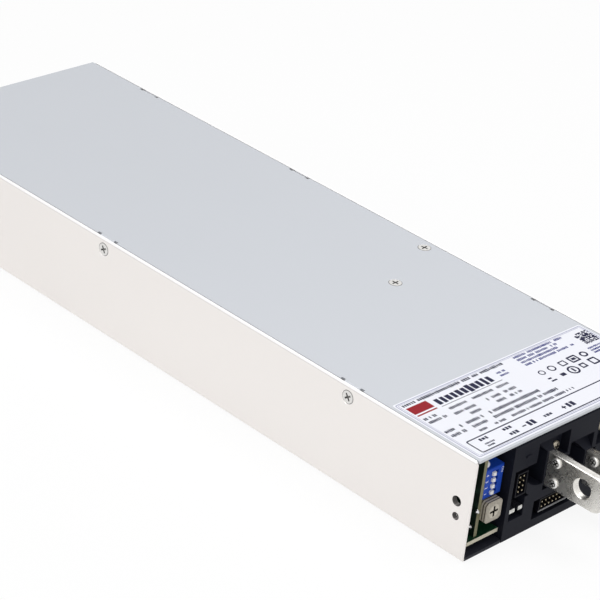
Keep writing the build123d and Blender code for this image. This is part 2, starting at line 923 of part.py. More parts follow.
def bus_bar(which):
    """The inner bar that a tab is screwed to, folded down to the main board behind the housing."""
    near = tab_near[which] + tab_thickness
    centre = tab_centre_height[which]
    inner = housing_depth + bar_behind_housing
    flat = block(behind(inner), x_output + bar_reach, across(near), across(near + bar_thickness),
                 centre - bar_width / 2, centre + bar_width / 2)
    leg = block(behind(inner), behind(inner - bar_leg), across(near), across(near + bar_thickness),
                board_top, centre)
    plane = Plane(origin=(x_output, across(near), centre), x_dir=(1, 0, 0), z_dir=(0, -1, 0))
    bore = Cylinder(tab_screw_diameter / 2 + thread_gap, 4 * tab_thickness)
    for up in (-tab_screw_spacing / 2, tab_screw_spacing / 2):
        flat -= plane * Pos(tab_screw_out, up) * bore
    return flat + leg


def pan_screw(diameter, head, head_height, reach):
    """A pan-head screw along -Z with its head above z = 0."""
    cap = Cylinder(head / 2, head_height)
    cap = Pos(0, 0, head_height / 2) * chamfer(cap.edges().group_by(Axis.Z)[-1], 0.4 * head_height)
    return cap + rod(diameter, (0, 0, 0), (0, 0, -1), reach)


def tab_screws():
    """Two screws at the root of each tab, with the tab and its bar clamped under the heads."""
    reach = tab_thickness + bar_thickness + tab_screw_proud
    screw = pan_screw(tab_screw_diameter, tab_screw_head, tab_screw_head_height, reach)
    found = []
    for which in (0, 1):
        plane = Plane(origin=(x_output + tab_screw_out, across(tab_near[which]), tab_centre_height[which]),
                      x_dir=(1, 0, 0), z_dir=(0, -1, 0))
        for up in (-tab_screw_spacing / 2, tab_screw_spacing / 2):
            found.append(plane * Pos(0, up) * screw)
    return Compound(children=found)


def well_screws():
    """The screws at the floors of the two square wells."""
    screw = pan_screw(well_screw, well_screw_head, well_screw_head_height, well_screw_reach)
    places = [Plane(origin=(behind(window_depth), y, z), x_dir=(0, 1, 0), z_dir=(1, 0, 0))
              for y, z in well_screw_places()]
    return Compound(children=[place * screw for place in places])


def header_body(y, z, wide, tall):
    """An open header box with a solid floor."""
    deep = housing_depth - header_front_gap
    outer = sink(Pos(across(y), z) * Rectangle(wide, tall), header_front_gap, deep)
    inner = Pos(across(y), z) * Rectangle(wide - 2 * header_wall, tall - 2 * header_wall)
    return outer - sink(inner, 0, header_front_gap + header_hollow)


def header_pins(y, z, columns, rows):
    """Square pins in two rows, from just inside the mouth of the header through its floor."""
    pins = []
    for i in range(columns):
        for j in range(rows):
            u = across(y) + (i - (columns - 1) / 2) * header_pitch
            v = z + (j - (rows - 1) / 2) * header_pitch
            pins.append(sink(Pos(u, v) * Rectangle(pin_size, pin_size), pin_front_gap, pin_length))
    return pins


def signal_header():
    """The upright header in the shaft, as body and pins."""
    y = shaft_near + shaft_width / 2 + signal_header_shift
    wide = header_pitch + 2 * header_side
    tall = (signal_ways - 1) * header_pitch + 2 * header_side
    pins = header_pins(y, signal_centre_height, 2, signal_ways)
    body = header_body(y, signal_centre_height, wide, tall)
    for pin in pins:
        body -= pin
    return body, Compound(children=pins)


def control_header():
    """The level header in the lower opening, as body and pins."""
    y = opening_near + opening_width / 2
    wide = (control_ways - 1) * header_pitch + 2 * header_side
    tall = header_pitch + 2 * header_side
    pins = header_pins(y, control_header_height, control_ways, 2)
    body = header_body(y, control_header_height, wide, tall)
    for pin in pins:
        body -= pin
    return body, Compound(children=pins)


def status_lenses():
    """Two white lamp lenses side by side in the foot of the header shaft."""
    found = []
    nears = (shaft_near + lens_gap, shaft_near + shaft_width - lens_gap - lens_widths[1])
    for near, wide in zip(nears, lens_widths):
        profile = face_rect(near, near + wide, lens_base, lens_base + lens_height)
        lens = sink(profile, lens_front_gap, housing_depth - lens_front_gap)
        found.append(chamfer(lens.faces().sort_by(Axis.X)[-1].edges(), edge_break))
    return Compound(children=found)


def fan_frame(y, z):
    """A fan frame: round bore, corner holes, and a motor base on struts at the inner side."""
    outline = Rectangle(fan_size(), fan_size())
    outline = fillet(outline.vertices(), fan_corner)
    outline -= Circle(fan_bore() / 2)
    half = fan_size() / 2 - fan_screw_inset
    for a in (-half, half):
        for b in (-half, half):
            outline -= Pos(a, b) * Circle(fan_hole / 2 + thread_gap)
    frame = extrude(outline, fan_depth)
    base = Circle(motor_base_diameter / 2)
    for i in range(strut_count):
        turn = 45 + i * 360 / strut_count
        strut = fan_bore() / 2 + strut_root
        base += Rot(0, 0, turn) * Pos(strut / 2, 0) * Rectangle(strut, strut_width)
    base -= Circle(shaft_diameter / 2 + shaft_fit)
    frame += Pos(0, 0, fan_depth - motor_base_thickness) * extrude(base, motor_base_thickness)
    return fan_plane(y, z) * frame


def fan_plane(y, z):
    """The inlet face of a fan, with local +Z pointing into the case."""
    return Plane(origin=(x_input + sheet + fan_wall_gap, y, z), x_dir=(0, 1, 0), z_dir=(1, 0, 0))


def blade_section(radius, pitch):
    """A curved blade section, square to a radius."""
    half = blade_chord / 2
    upper = ThreePointArc((-half, 0), (0, blade_bow + blade_thickness / 2), (half, 0))
    lower = ThreePointArc((half, 0), (0, blade_bow - blade_thickness / 2), (-half, 0))
    flat = make_face(upper + lower)
    along = (0, cos(radians(pitch)), sin(radians(pitch)))
    return Plane(origin=(radius, 0, 0), x_dir=along, z_dir=(1, 0, 0)) * flat


def fan_rotor(y, z):
    """A fan rotor: cup, shaft, and curved blades that twist towards their tips."""
    tip = fan_bore() / 2 - blade_tip_gap
    hub = Cylinder(hub_diameter / 2, hub_length)
    hub = chamfer(hub.edges().group_by(Axis.Z)[0], hub_corner)
    hub -= Pos(0, 0, hub_wall) * Cylinder(hub_diameter / 2 - hub_wall, hub_length)
    middle = hub_from_front + hub_length / 2
    rotor = Pos(0, 0, middle) * hub
    shaft_end = fan_depth - shaft_end_gap
    rotor += rod(shaft_diameter, (0, 0, hub_from_front), (0, 0, 1), shaft_end - hub_from_front)
    root = blade_section(hub_diameter / 2 - hub_wall + blade_root_sink, blade_root_pitch)
    end = blade_section(tip, blade_tip_pitch)
    blade = Pos(0, 0, middle) * loft([root, end])
    trim = Pos(0, 0, middle) * Cylinder(tip, 2 * fan_depth)
    blade = blade & trim
    for i in range(blade_count):
        rotor += Rot(0, 0, i * 360 / blade_count) * blade
    return fan_plane(y, z) * rotor


def fan_screws():
    """Flat-head screws through the end wall into the corners of the fans."""
    screw = countersunk_screw(fan_hole, screw_head, screw_head_height, fan_screw_length)
    places = [Plane(origin=(x_input, y, z), z_dir=(-1, 0, 0)) for y, z in fan_screw_places()]
    return Compound(children=[place * screw for place in places])


def input_block():
    """The input terminal block: a stepped base with barriers between its poles."""
    near = input_near
    front_x = x_input + input_front_gap
    back_x = front_x + input_depth
    floor = board_top + input_base_height
    top = board_top + input_barrier_height
    profile = Polygon((front_x, board_top), (back_x, board_top), (back_x, top), (front_x + input_slope, top),
                      (front_x, top - input_slope), align=None)
    body = Pos(0, across(near), 0) * extrude(Plane.XZ * profile, near - input_far)
    for i in range(input_poles):
        y0 = near + input_wall + i * input_pitch
        y1 = y0 + input_pitch - input_wall
        body -= block(front_x, back_x - input_wall, across(y0), across(y1), floor, top)
        body -= block(front_x, front_x + input_recess, across(y0), across(y1), board_top + input_foot, floor)
    for x, y in input_screw_places():
        body -= Pos(x, y, floor) * Cylinder(input_screw / 2 + thread_gap, 2 * input_screw_length)
    return body


def input_screw_places():
    """The X and Y of each clamp screw of the input block."""
    near = input_near + input_wall + (input_pitch - input_wall) / 2
    x = x_input + input_front_gap + input_screw_back
    return [(x, across(near + i * input_pitch)) for i in range(input_poles)]


def input_clamps():
    """The square clamp plates under the input screws."""
    side = input_pitch - input_wall - 2 * clamp_gap
    plates = []
    for x, y in input_screw_places():
        plate = Box(side, side, clamp_thickness)
        plate -= Cylinder(input_screw / 2 + thread_gap, 2 * clamp_thickness)
        plates.append(Pos(x, y, board_top + input_base_height + clamp_thickness / 2) * plate)
    return Compound(children=plates)


def input_screws():
    """The clamp screws of the input block."""
    screw = pan_screw(input_screw, input_screw_head, input_screw_head_height, input_screw_length)
    up = board_top + input_base_height + clamp_thickness
    return Compound(children=[Pos(x, y, up) * screw for x, y in input_screw_places()])


def capacitor(diameter, tall):
    """A round capacitor standing on z = 0, with the rolled groove near its foot."""
    rim = diameter / 2
    profile = Polygon((0, 0), (rim, 0), (rim, groove_height - groove_half),
                      (rim - groove_depth, groove_height), (rim, groove_height + groove_half),
                      (rim, tall - can_corner), (rim - can_corner, tall), (0, tall), align=None)
    return revolve(Plane.XZ * profile, Axis.Z)


def bulk_capacitors():
    """The large input capacitors, lying on the main board."""
    pitch = bulk_diameter + bulk_gap
    can = Rot(0, -90, 0) * capacitor(bulk_diameter, bulk_length)
    found = []
    for i in range(int((width - bulk_near - board_far_gap) / pitch)):
        y = bulk_near + (i + 0.5) * pitch
        found.append(Pos(x_input + bulk_from_input, across(y), board_top + bulk_diameter / 2) * can)
    return Compound(children=found)


def output_capacitors():
    """The row of output capacitors behind the terminal housing."""
    pitch = output_cap_diameter + output_cap_gap
    can = capacitor(output_cap_diameter, output_cap_height)
    found = []
    for i in range(int((width - output_cap_near - board_far_gap) / pitch)):
        y = output_cap_near + (i + 0.5) * pitch
        found.append(Pos(behind(output_cap_from_output), across(y), board_top) * can)
    return Compound(children=found)


def core_window():
    """The width and height of each window of a core pair; its middle limb is twice an outer one."""
    return transformer_length / 2 - 2 * transformer_limb, transformer_height - 2 * transformer_limb


def core_profile():
    """The side of a core pair: a closed frame with a middle limb."""
    outline = Rectangle(transformer_length, transformer_height)
    wide, tall = core_window()
    for side in (-1, 1):
        outline -= Pos(side * (transformer_limb + wide / 2), 0) * Rectangle(wide, tall)
    return outline


def transformer_places():
    """The middle of each transformer, as many as fit before the primary heatsink."""
    pitch = transformer_length + transformer_spacing
    count = int((primary_start - transformer_start + transformer_spacing) / pitch)
    first = transformer_start + transformer_length / 2
    up = board_top + transformer_height / 2
    return [Plane(origin=(behind(first + i * pitch), across(transformer_near), up), x_dir=(1, 0, 0),
                  z_dir=(0, -1, 0)) for i in range(count)]


def transformer_cores():
    """The ferrite cores of the main transformers."""
    core = extrude(core_profile(), core_width / 2, both=True)
    return Compound(children=[place * core for place in transformer_places()])


def transformer_windings():
    """The wound coils, a closed ring around the middle limb of each core."""
    wide, tall = core_window()
    limb = 2 * transformer_limb + 2 * transformer_gap
    across_coil = 2 * transformer_limb + 2 * wide - 2 * transformer_gap
    coil = Box(across_coil, tall - 2 * transformer_gap, transformer_width)
    coil = fillet(coil.edges().filter_by(Axis.Y), coil_corner)
    coil -= Box(limb, transformer_height, core_width + 2 * transformer_gap)
    return Compound(children=[place * coil for place in transformer_places()])


def ring_choke(outer, inner, tall, from_output, from_near):
    """A toroidal choke lying flat on the main board."""
    ring = Cylinder(outer / 2, tall) - Cylinder(inner / 2, tall)
    ring = chamfer(ring.edges().filter_by(GeomType.CIRCLE), choke_corner)
    return Pos(behind(from_output), across(from_near), board_top + tall / 2) * ring


def cover_screw_bore():
    """The room that a screw of the cover takes behind its head, straight down from the origin."""
    return rod(screw_diameter + 2 * thread_gap, (0, 0, 0), (0, 0, -1), side_screw_length + slip_gap)


def heatsink(from_output, reach, from_near, face, fin_reach, screws=()):
    """An extruded heatsink: an upright base with level fins on one side, bored for cover screws."""
    top = cover_under - heatsink_top_gap
    x0, x1 = behind(from_output + reach / 2), behind(from_output - reach / 2)
    half = heatsink_base / 2
    base = block(x0, x1, across(from_near - half), across(from_near + half), board_top, top)
    step = (top - board_top - heatsink_fin) / (heatsink_fin_count - 1)
    for i in range(heatsink_fin_count):
        edge = from_near + face * half
        near, far = sorted((edge, edge + face * fin_reach))
        low = board_top + i * step
        base += block(x0, x1, across(near), across(far), low, low + heatsink_fin)
    for screw_out, screw_near in screws:
        base -= Pos(behind(screw_out), across(screw_near), height) * cover_screw_bore()
    return base


def heatsinks():
    """The three heatsinks by name: two long ones that face each other, and the primary one."""
    near, far = sink_nears
    fin_reach = (far - near - heatsink_base - fin_clearance) / 2
    screws = top_screw_places()
    secondary = heatsink(sink_middle, sink_length, near, 1, fin_reach, screws[:1])
    edge = heatsink(sink_middle, sink_length, far, -1, fin_reach, screws[1:])
    for place in side_screw_places():
        edge -= place * cover_screw_bore()
    primary = heatsink(primary_from_output, primary_sink_length, primary_sink_near, 1, fin_reach)
    return {"secondary_heatsink": secondary, "edge_heatsink": edge, "primary_heatsink": primary}


def power_transistors():
    """The flat transistors on the plain sides of the heatsinks, standing on their legs."""
    found = []
    for from_output, reach, from_near in ((sink_middle, sink_length, secondary_sink_near),
                                          (primary_from_output, primary_sink_length, primary_sink_near)):
        high = across(from_near - heatsink_base / 2)
        low = high - transistor_thickness
        count = int(reach / transistor_pitch)
        for i in range(count):
            middle = behind(from_output) + (i - (count - 1) / 2) * transistor_pitch
            body = block(middle - transistor_width / 2, middle + transistor_width / 2, low, high,
                         board_top + transistor_lift, board_top + transistor_lift + transistor_height)
            centre = (low + high) / 2
            for leg in (-1, 0, 1):
                at = middle + leg * transistor_width / 3
                body += block(at - leg_width / 2, at + leg_width / 2, centre - leg_thickness / 2,
                              centre + leg_thickness / 2, board_top, board_top + transistor_lift)
            found.append(body)
    return Compound(children=found)


def filter_middles():
    """The near-wall distances of the film capacitors, the relay and the fuse, evenly spread."""
    choke_far = filter_choke_near + filter_choke[0] / 2
    widths = (film_cap_size[1], relay_size[1], fuse_diameter)
    gap = (width - board_far_gap - choke_far - sum(widths)) / (len(widths) + 1)
    middles = []
    edge = choke_far
    for wide in widths:
        middles.append(edge + gap + wide / 2)
        edge += gap + wide
    return middles


def film_capacitors():
    """The two boxed film capacitors of the line filter."""
    long, wide, tall = film_cap_size
    box = Pos(0, 0, tall / 2) * Box(long, wide, tall)
    box = fillet(box.edges().filter_by(Axis.Z), film_cap_corner)
    x, y = x_input + filter_from_input, across(filter_middles()[0])
    places = [Pos(x + shift, y, board_top) for shift in (-film_cap_offset, film_cap_offset)]
    return Compound(children=[place * box for place in places])


def inrush_relay():
    """The relay that bridges the inrush resistor."""
    long, wide, tall = relay_size
    box = Pos(0, 0, tall / 2) * Box(long, wide, tall)
    box = chamfer(box.edges().group_by(Axis.Z)[-1], film_cap_corner)
    return Pos(x_input + filter_from_input, across(filter_middles()[1]), board_top) * box


def input_fuse():
    """The input fuse in its two clips, joined as one soldered piece."""
    x, y = x_input + filter_from_input, across(filter_middles()[2])
    up = board_top + fuse_diameter / 2 + fuse_lift
    half = fuse_clip_width / 2
    tube = rod(fuse_diameter - 2 * fuse_clip, (x - fuse_length / 2, y, up), (1, 0, 0), fuse_length)
    for end in (-1, 1):
        middle = x + end * (fuse_length / 2 - fuse_clip_inset)
        clip = rod(fuse_diameter, (middle - half, y, up), (1, 0, 0), fuse_clip_width)
        foot = block(middle - half, middle + half, y - fuse_diameter / 4, y + fuse_diameter / 4,
                     board_top, up)
        tube += clip + foot
    return tube


def write_parts():
    """Builds every node and writes it."""
    os.makedirs("parts", exist_ok=True)
    save(chassis(), "chassis")
    save(top_cover(), "top_cover")
    save(label(), "rating_label")
    save(side_screws(), "side_screws")
    save(top_cover_screws(), "top_screws")
    save(bottom_film(), "bottom_film")
    save(main_board(), "main_board")
    save(board_standoffs(), "board_standoffs")
    save(board_screws(), "board_screws")

    save(control_board(), "control_board")
    save(signal_board(), "signal_board")
    save(dip_switch_body(), "dip_switch_body")
    for i, z in enumerate(slider_heights()):
        save(dip_slider(z), f"dip_slider_{i + 1}")
    save(trimmer_body(), "trimmer_body")
    save(trimmer_rotor(), "trimmer_rotor")
    save(board_lamp(), "board_lamp")

    save(terminal_housing(), "terminal_housing")
    for which, name in enumerate(("negative", "positive")):
        save(output_tab(which), f"{name}_tab")
        save(bus_bar(which), f"{name}_bus_bar")
    save(tab_screws(), "tab_screws")
    save(well_screws(), "well_screws")
    body, pins = signal_header()
    save(body, "signal_header")
    save(pins, "signal_pins")
    body, pins = control_header()
    save(body, "control_header")
    save(pins, "control_pins")
    save(status_lenses(), "status_lenses")

    for i, (y, z) in enumerate(fan_centres()):
        save(fan_frame(y, z), f"fan_frame_{i + 1}")
        save(fan_rotor(y, z), f"fan_rotor_{i + 1}")
    save(fan_screws(), "fan_screws")
    save(input_block(), "input_block")
    save(input_clamps(), "input_clamps")
    save(input_screws(), "input_screws")

    save(bulk_capacitors(), "bulk_capacitors")
    save(output_capacitors(), "output_capacitors")
    save(transformer_cores(), "transformer_cores")
    save(transformer_windings(), "transformer_windings")
    for name, body in heatsinks().items():
        save(body, name)
    save(power_transistors(), "power_transistors")
    save(ring_choke(*output_choke, output_choke_from_output, output_choke_near), "output_choke")
    save(ring_choke(*boost_choke, primary_from_output, boost_choke_near), "boost_choke")
    save(ring_choke(*filter_choke, length - filter_from_input, filter_choke_near), "line_filter_choke")
    save(film_capacitors(), "film_capacitors")
    save(inrush_relay(), "inrush_relay")
    save(input_fuse(), "input_fuse")


write_parts()
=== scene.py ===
import json
import random
from math import cos, pi, radians, sin

import bmesh
import bpy
from mathutils import Matrix, Vector


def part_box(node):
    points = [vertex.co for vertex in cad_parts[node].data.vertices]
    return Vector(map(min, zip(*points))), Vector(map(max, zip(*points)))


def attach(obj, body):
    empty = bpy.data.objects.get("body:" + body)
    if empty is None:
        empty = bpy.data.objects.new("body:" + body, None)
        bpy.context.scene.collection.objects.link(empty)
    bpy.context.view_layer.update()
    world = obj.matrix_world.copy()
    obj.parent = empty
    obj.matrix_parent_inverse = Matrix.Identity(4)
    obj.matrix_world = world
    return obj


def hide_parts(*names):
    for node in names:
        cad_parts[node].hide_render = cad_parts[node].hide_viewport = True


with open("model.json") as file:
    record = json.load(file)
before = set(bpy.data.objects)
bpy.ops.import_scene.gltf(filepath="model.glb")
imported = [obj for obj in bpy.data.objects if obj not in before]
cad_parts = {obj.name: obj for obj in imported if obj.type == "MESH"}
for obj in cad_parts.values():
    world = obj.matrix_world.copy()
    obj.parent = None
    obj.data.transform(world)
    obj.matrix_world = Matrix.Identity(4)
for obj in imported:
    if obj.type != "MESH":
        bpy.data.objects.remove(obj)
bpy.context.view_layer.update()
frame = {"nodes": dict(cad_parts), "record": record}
nodes = frame["nodes"]

MM = 0.001
CASE = "supply"

# Where things lie on the case, in millimetres, as the solids have them
case_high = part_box("chassis")[1]
X_OUT = case_high.x / MM
HALF = case_high.y / MM
TOP = case_high.z / MM
LABEL_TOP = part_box("rating_label")[1].z / MM


def across(from_near):
    """The Y of a place given from the outer face of the near wall."""
    return from_near - HALF


def behind(depth):
    """The X of a place given as a depth behind the output end."""
    return X_OUT - depth


def corners(node):
    """The lowest and highest corners of a CAD node, in millimetres."""
    return [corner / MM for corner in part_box(node)]


def front_of(node):
    """The X of a CAD node's front, in millimetres."""
    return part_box(node)[1].x / MM


def top_of(node):
    """The height of a CAD node's top, in millimetres."""
    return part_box(node)[1].z / MM


# Shader sums and node trees


class Wire:
    """A socket's value in a material, so that shader sums read as plain sums."""

    def __init__(self, look, socket):
        self.look = look
        self.socket = socket

    def maths(self, operation, *values):
        return self.look.add("ShaderNodeMath", {"operation": operation}, values)

    def __add__(self, other):
        return self.maths("ADD", self, other)

    def __radd__(self, other):
        return self.maths("ADD", other, self)

    def __sub__(self, other):
        return self.maths("SUBTRACT", self, other)

    def __rsub__(self, other):
        return self.maths("SUBTRACT", other, self)

    def __mul__(self, other):
        return self.maths("MULTIPLY", self, other)

    def __rmul__(self, other):
        return self.maths("MULTIPLY", other, self)

    def __gt__(self, other):
        return self.maths("GREATER_THAN", self, other)

    def __lt__(self, other):
        return self.maths("LESS_THAN", self, other)

    def __abs__(self):
        return self.maths("ABSOLUTE", self)


class Nodes:
    """A shader node tree, with one method that makes any node."""

    def __init__(self, owner):
        owner.use_nodes = True
        self.tree = owner.node_tree
        self.tree.nodes.clear()

    def add(self, kind, settings=None, values=(), out=0):
        """Makes a node: its settings first, then the values or wires of its sockets."""
        node = self.tree.nodes.new(kind)
        for key, value in (settings or {}).items():
            setattr(node, key, value)
        pairs = values.items() if isinstance(values, dict) else enumerate(values)
        for key, value in pairs:
            self.feed(node.inputs[key], value)
        return Wire(self, node.outputs[out])

    def feed(self, socket, value):
        """Joins a wire to a socket, or sets the socket's own value."""
        if isinstance(value, Wire):
            self.tree.links.new(value.socket, socket)
        elif isinstance(value, (tuple, list)) and socket.type == "RGBA":
            socket.default_value = (*value[:3], 1.0)
        else:
            socket.default_value = value

    def shown(self):
        """1 for what is seen, also in a mirror or through something clear, and 0 for plain light."""
        path = self.tree.nodes.new("ShaderNodeLightPath")
        seen, mirrored, through = [Wire(self, path.outputs[f"Is {kind} Ray"])
                                   for kind in ("Camera", "Glossy", "Transmission")]
        return seen.maths("MAXIMUM", seen.maths("MAXIMUM", seen, mirrored), through)


class Look(Nodes):
    """A procedural material, with its shader joined to the output."""

    def __init__(self, name, roughness=0.5, metallic=0.0, **plain):
        self.material = bpy.data.materials.new(name)
        super().__init__(self.material)
        self.shader = self.tree.nodes.new("ShaderNodeBsdfPrincipled")
        self.output = self.tree.nodes.new("ShaderNodeOutputMaterial")
        self.tree.links.new(self.shader.outputs[0], self.output.inputs[0])
        self.shader.inputs["Roughness"].default_value = roughness
        self.shader.inputs["Metallic"].default_value = metallic
        for key, value in plain.items():
            self.shader.inputs[key.replace("_", " ")].default_value = value
        self.spot = self.add("ShaderNodeTexCoord", out="Object")

    def to(self, name, value):
        """Feeds a socket of the shader."""
        self.feed(self.shader.inputs[name], value)
        return self

    def mix(self, factor, first, second):
        """A blend of two colours."""
        return self.add("ShaderNodeMix", {"data_type": "RGBA"}, {0: factor, 6: first, 7: second}, out=2)

    def axes(self):
        """The place on the piece in millimetres, as three wires."""
        split = self.tree.nodes.new("ShaderNodeSeparateXYZ")
        self.tree.links.new(self.spot.socket, split.inputs[0])
        return [Wire(self, split.outputs[i]) * (1 / MM) for i in range(3)]

    def stretched(self, scale):
        """The place on the piece, scaled along each axis."""
        return self.add("ShaderNodeMapping", {}, {0: self.spot, 3: scale})

    def noise(self, scale, detail, rough=0.55, place=None):
        """Noise between 0 and 1, its scale given for metres."""
        values = {"Vector": place or self.spot, "Scale": scale, "Detail": detail, "Roughness": rough}
        return self.add("ShaderNodeTexNoise", {}, values)

    def bump(self, height, strength, distance):
        """A bumped surface, its distance in millimetres."""
        values = {"Height": height, "Strength": strength, "Distance": distance * MM}
        return self.to("Normal", self.add("ShaderNodeBump", {}, values))


# Finishes. Noise scales are for metres, so 1000 gives clouds of about a millimetre.


def tinted(colour, factor):
    """A colour made lighter or darker."""
    return tuple(min(1.0, channel * factor) for channel in colour)


def moulded(name, colour, roughness, grain, **plain):
    """A moulded plastic, finely grained and faintly clouded; plain values are the shader's own."""
    look = Look(name, roughness, **plain)
    cloud = look.noise(60.0, 2.0)
    look.to("Base Color", look.mix(cloud, tinted(colour, 0.88), tinted(colour, 1.12)))
    look.to("Roughness", cloud * 0.12 + (roughness - 0.06))
    return look.bump(look.noise(grain, 2.0), 0.25, 0.02).material


def sheet_steel(name, colour, along, roughness, metallic, glint_from=None):
    """Plated sheet metal with a rolled streak, mottled plating and a fine tooth; above a given height a
    painted highlight, with a thin band of painted shade just below it.
    """
    painted_shade_band = 0.35
    painted_glint = (0.98, 0.97, 0.97)
    look = Look(name, roughness, metallic)
    streak = look.noise(260.0, 3.0, 0.6, look.stretched(along))
    mottle = look.noise(900.0, 2.0)
    cloud = look.noise(14.0, 2.0)
    shade = streak * 0.35 + mottle * 0.25 + cloud * 0.4
    face = look.mix(shade, tinted(colour, 0.972), tinted(colour, 1.028))
    if glint_from:
        up = look.axes()[2]
        # A thin band of painted shade below the given height, then a painted highlight above it.
        face = look.mix((up > glint_from - painted_shade_band) * 0.9, face, tinted(colour, 0.87))
        face = look.mix(up > glint_from, face, painted_glint)
    look.to("Base Color", face)
    look.to("Roughness", mottle * 0.1 + streak * 0.06 + (roughness - 0.08))
    return look.bump(streak + mottle, 0.08, 0.02).material


def plated(name, colour, roughness, metallic=1.0, cloudy=0.1, pebbled=0.06, recess=0.3):
    """Bright plating with faint wipe marks; faces marked as deep are dull and get painted shade, darkened by
    the recess factor.
    """
    look = Look(name, roughness, metallic)
    cloud = look.noise(420.0, 3.0)
    fine = look.noise(2600.0, 2.0)
    # The deep faces are painted dark, as painted shade in screw recesses and on rims.
    deep = look.add("ShaderNodeAttribute", {"attribute_name": "deep"}, out="Fac")
    face = look.mix(cloud, tinted(colour, 1 - cloudy), tinted(colour, 1 + 0.8 * cloudy))
    look.to("Base Color", look.mix(deep, face, tinted(colour, recess)))
    look.to("Roughness", cloud * 0.16 + fine * 0.06 + deep * 0.4 + (roughness - 0.08))
    return look.bump(fine, pebbled, 0.02 + 0.05 * pebbled).material


def ink(name, colour):
    """Printing ink, slightly uneven."""
    look = Look(name, 0.6, Specular_IOR_Level=0.2)
    cloud = look.noise(2200.0, 2.0)
    look.to("Base Color", look.mix(cloud, tinted(colour, 0.85), tinted(colour, 1.25)))
    look.to("Roughness", cloud * 0.1 + 0.52)
    return look.material


def circuit_board(name, node, axis, sawn=(0.62, 0.58, 0.46), green=(0.007, 0.042, 0.018)):
    """A board with green faces and a sawn edge of its own colour; axis is the one across its thickness."""
    skin = 0.01
    low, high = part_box(node)
    middle = (low[axis] + high[axis]) / 2 / MM
    half = (high[axis] - low[axis]) / 2 / MM
    look = Look(name, 0.35)
    edge = abs(look.axes()[axis] - middle) < half - skin
    cloud = look.noise(500.0, 3.0)
    track = look.noise(240.0, 1.0, 0.4)
    face = look.mix(cloud, tinted(green, 0.6), green)
    face = look.mix(track > 0.56, face, tinted(green, 1.6))
    side = look.mix(look.noise(1800.0, 3.0), tinted(sawn, 0.8), tinted(sawn, 1.15))
    look.to("Base Color", look.mix(edge, face, side))
    look.to("Roughness", edge * 0.35 + cloud * 0.1 + 0.3)
    return look.bump(track, 0.1, 0.03).material


def light_guide(name, node):
    """A clear lens set in black: bright at its front face, with painted shade where it runs back into its
    channel.
    """
    lit_depth = 0.35
    look = Look(name, 0.25, Specular_IOR_Level=0.2)
    back = look.axes()[0] < front_of(node) - lit_depth
    cloud = look.noise(900.0, 2.0)
    lit = look.mix(cloud, (0.60, 0.60, 0.56), (0.86, 0.86, 0.84))
    # Behind its front face the lens is painted near black, as painted shade in its channel.
    look.to("Base Color", look.mix(back, lit, (0.02, 0.02, 0.026)))
    look.to("Roughness", cloud * 0.15 + 0.2)
    return look.bump(cloud, 0.05, 0.02).material


def slotted_rotor(name, node):
    """A small brass rotor: dull metal on its face, painted near black down in its slot as painted shade."""
    slot_shade_depth = 0.12
    look = Look(name, 0.4, 0.8)
    slot = look.axes()[0] < front_of(node) - slot_shade_depth
    cloud = look.noise(900.0, 3.0)
    face = look.mix(cloud, (0.34, 0.31, 0.25), (0.62, 0.58, 0.50))
    # Below the face the slot is painted near black, as painted shade.
    look.to("Base Color", look.mix(slot, face, (0.03, 0.027, 0.022)))
    look.to("Roughness", cloud * 0.2 + slot * 0.3 + 0.25)
    return look.bump(cloud, 0.2, 0.04).material


def ribbed_case(name, node):
    """A pale moulded case with a mottled front, and dark bands round its sides as painted shade of narrow
    ribs.
    """
    plain_depth = 0.35
    rib_turn = 5.2
    look = Look(name, 0.5, Specular_IOR_Level=0.3)
    x = look.axes()[0]
    side = x < front_of(node) - plain_depth
    rib_shade = x.maths("SINE", x * rib_turn) * 0.5 + 0.5
    cloud = look.noise(1400.0, 3.0)
    pale = look.mix(cloud, (0.24, 0.215, 0.17), (0.50, 0.46, 0.39))
    # The dark side bands are painted shade, standing in for the grooves between ribs.
    look.to("Base Color", look.mix(side * (rib_shade > 0.6), pale, (0.07, 0.06, 0.048)))
    look.to("Roughness", cloud * 0.15 + 0.4)
    return look.bump(cloud, 0.3, 0.05).material


def lipped_header(name, node):
    """A header's moulding with a painted highlight along the front edge of its lower lip."""
    lip_depth = 0.25
    lip_height = 0.5
    look = Look(name, 0.5, Specular_IOR_Level=0.1)
    x, _, z = look.axes()
    lip = (x > front_of(node) - lip_depth) * (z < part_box(node)[0].z / MM + lip_height)
    grain = look.noise(9000.0, 2.0)
    body = look.mix(grain, (0.003, 0.003, 0.006), (0.006, 0.006, 0.009))
    # The lip is painted pale grey, as a painted highlight on the shiny edge.
    look.to("Base Color", look.mix(lip, body, (0.26, 0.26, 0.27)))
    look.to("Roughness", grain * 0.1 + 0.45)
    return look.bump(grain, 0.1, 0.01).material


def tinned_bar(name, tin, bare, start):
    """A copper bar that is tinned from a place on to its end."""
    look = Look(name, 0.3, 0.95)
    dipped = look.axes()[0] > start
    cloud = look.noise(420.0, 3.0)
    shade = look.mix(dipped, bare, tin)
    look.to("Base Color", look.mix(cloud * 0.35, shade, (0.12, 0.11, 0.10)))
    look.to("Roughness", cloud * 0.15 + 0.2)
    return look.bump(look.noise(2600.0, 2.0), 0.2, 0.03).material


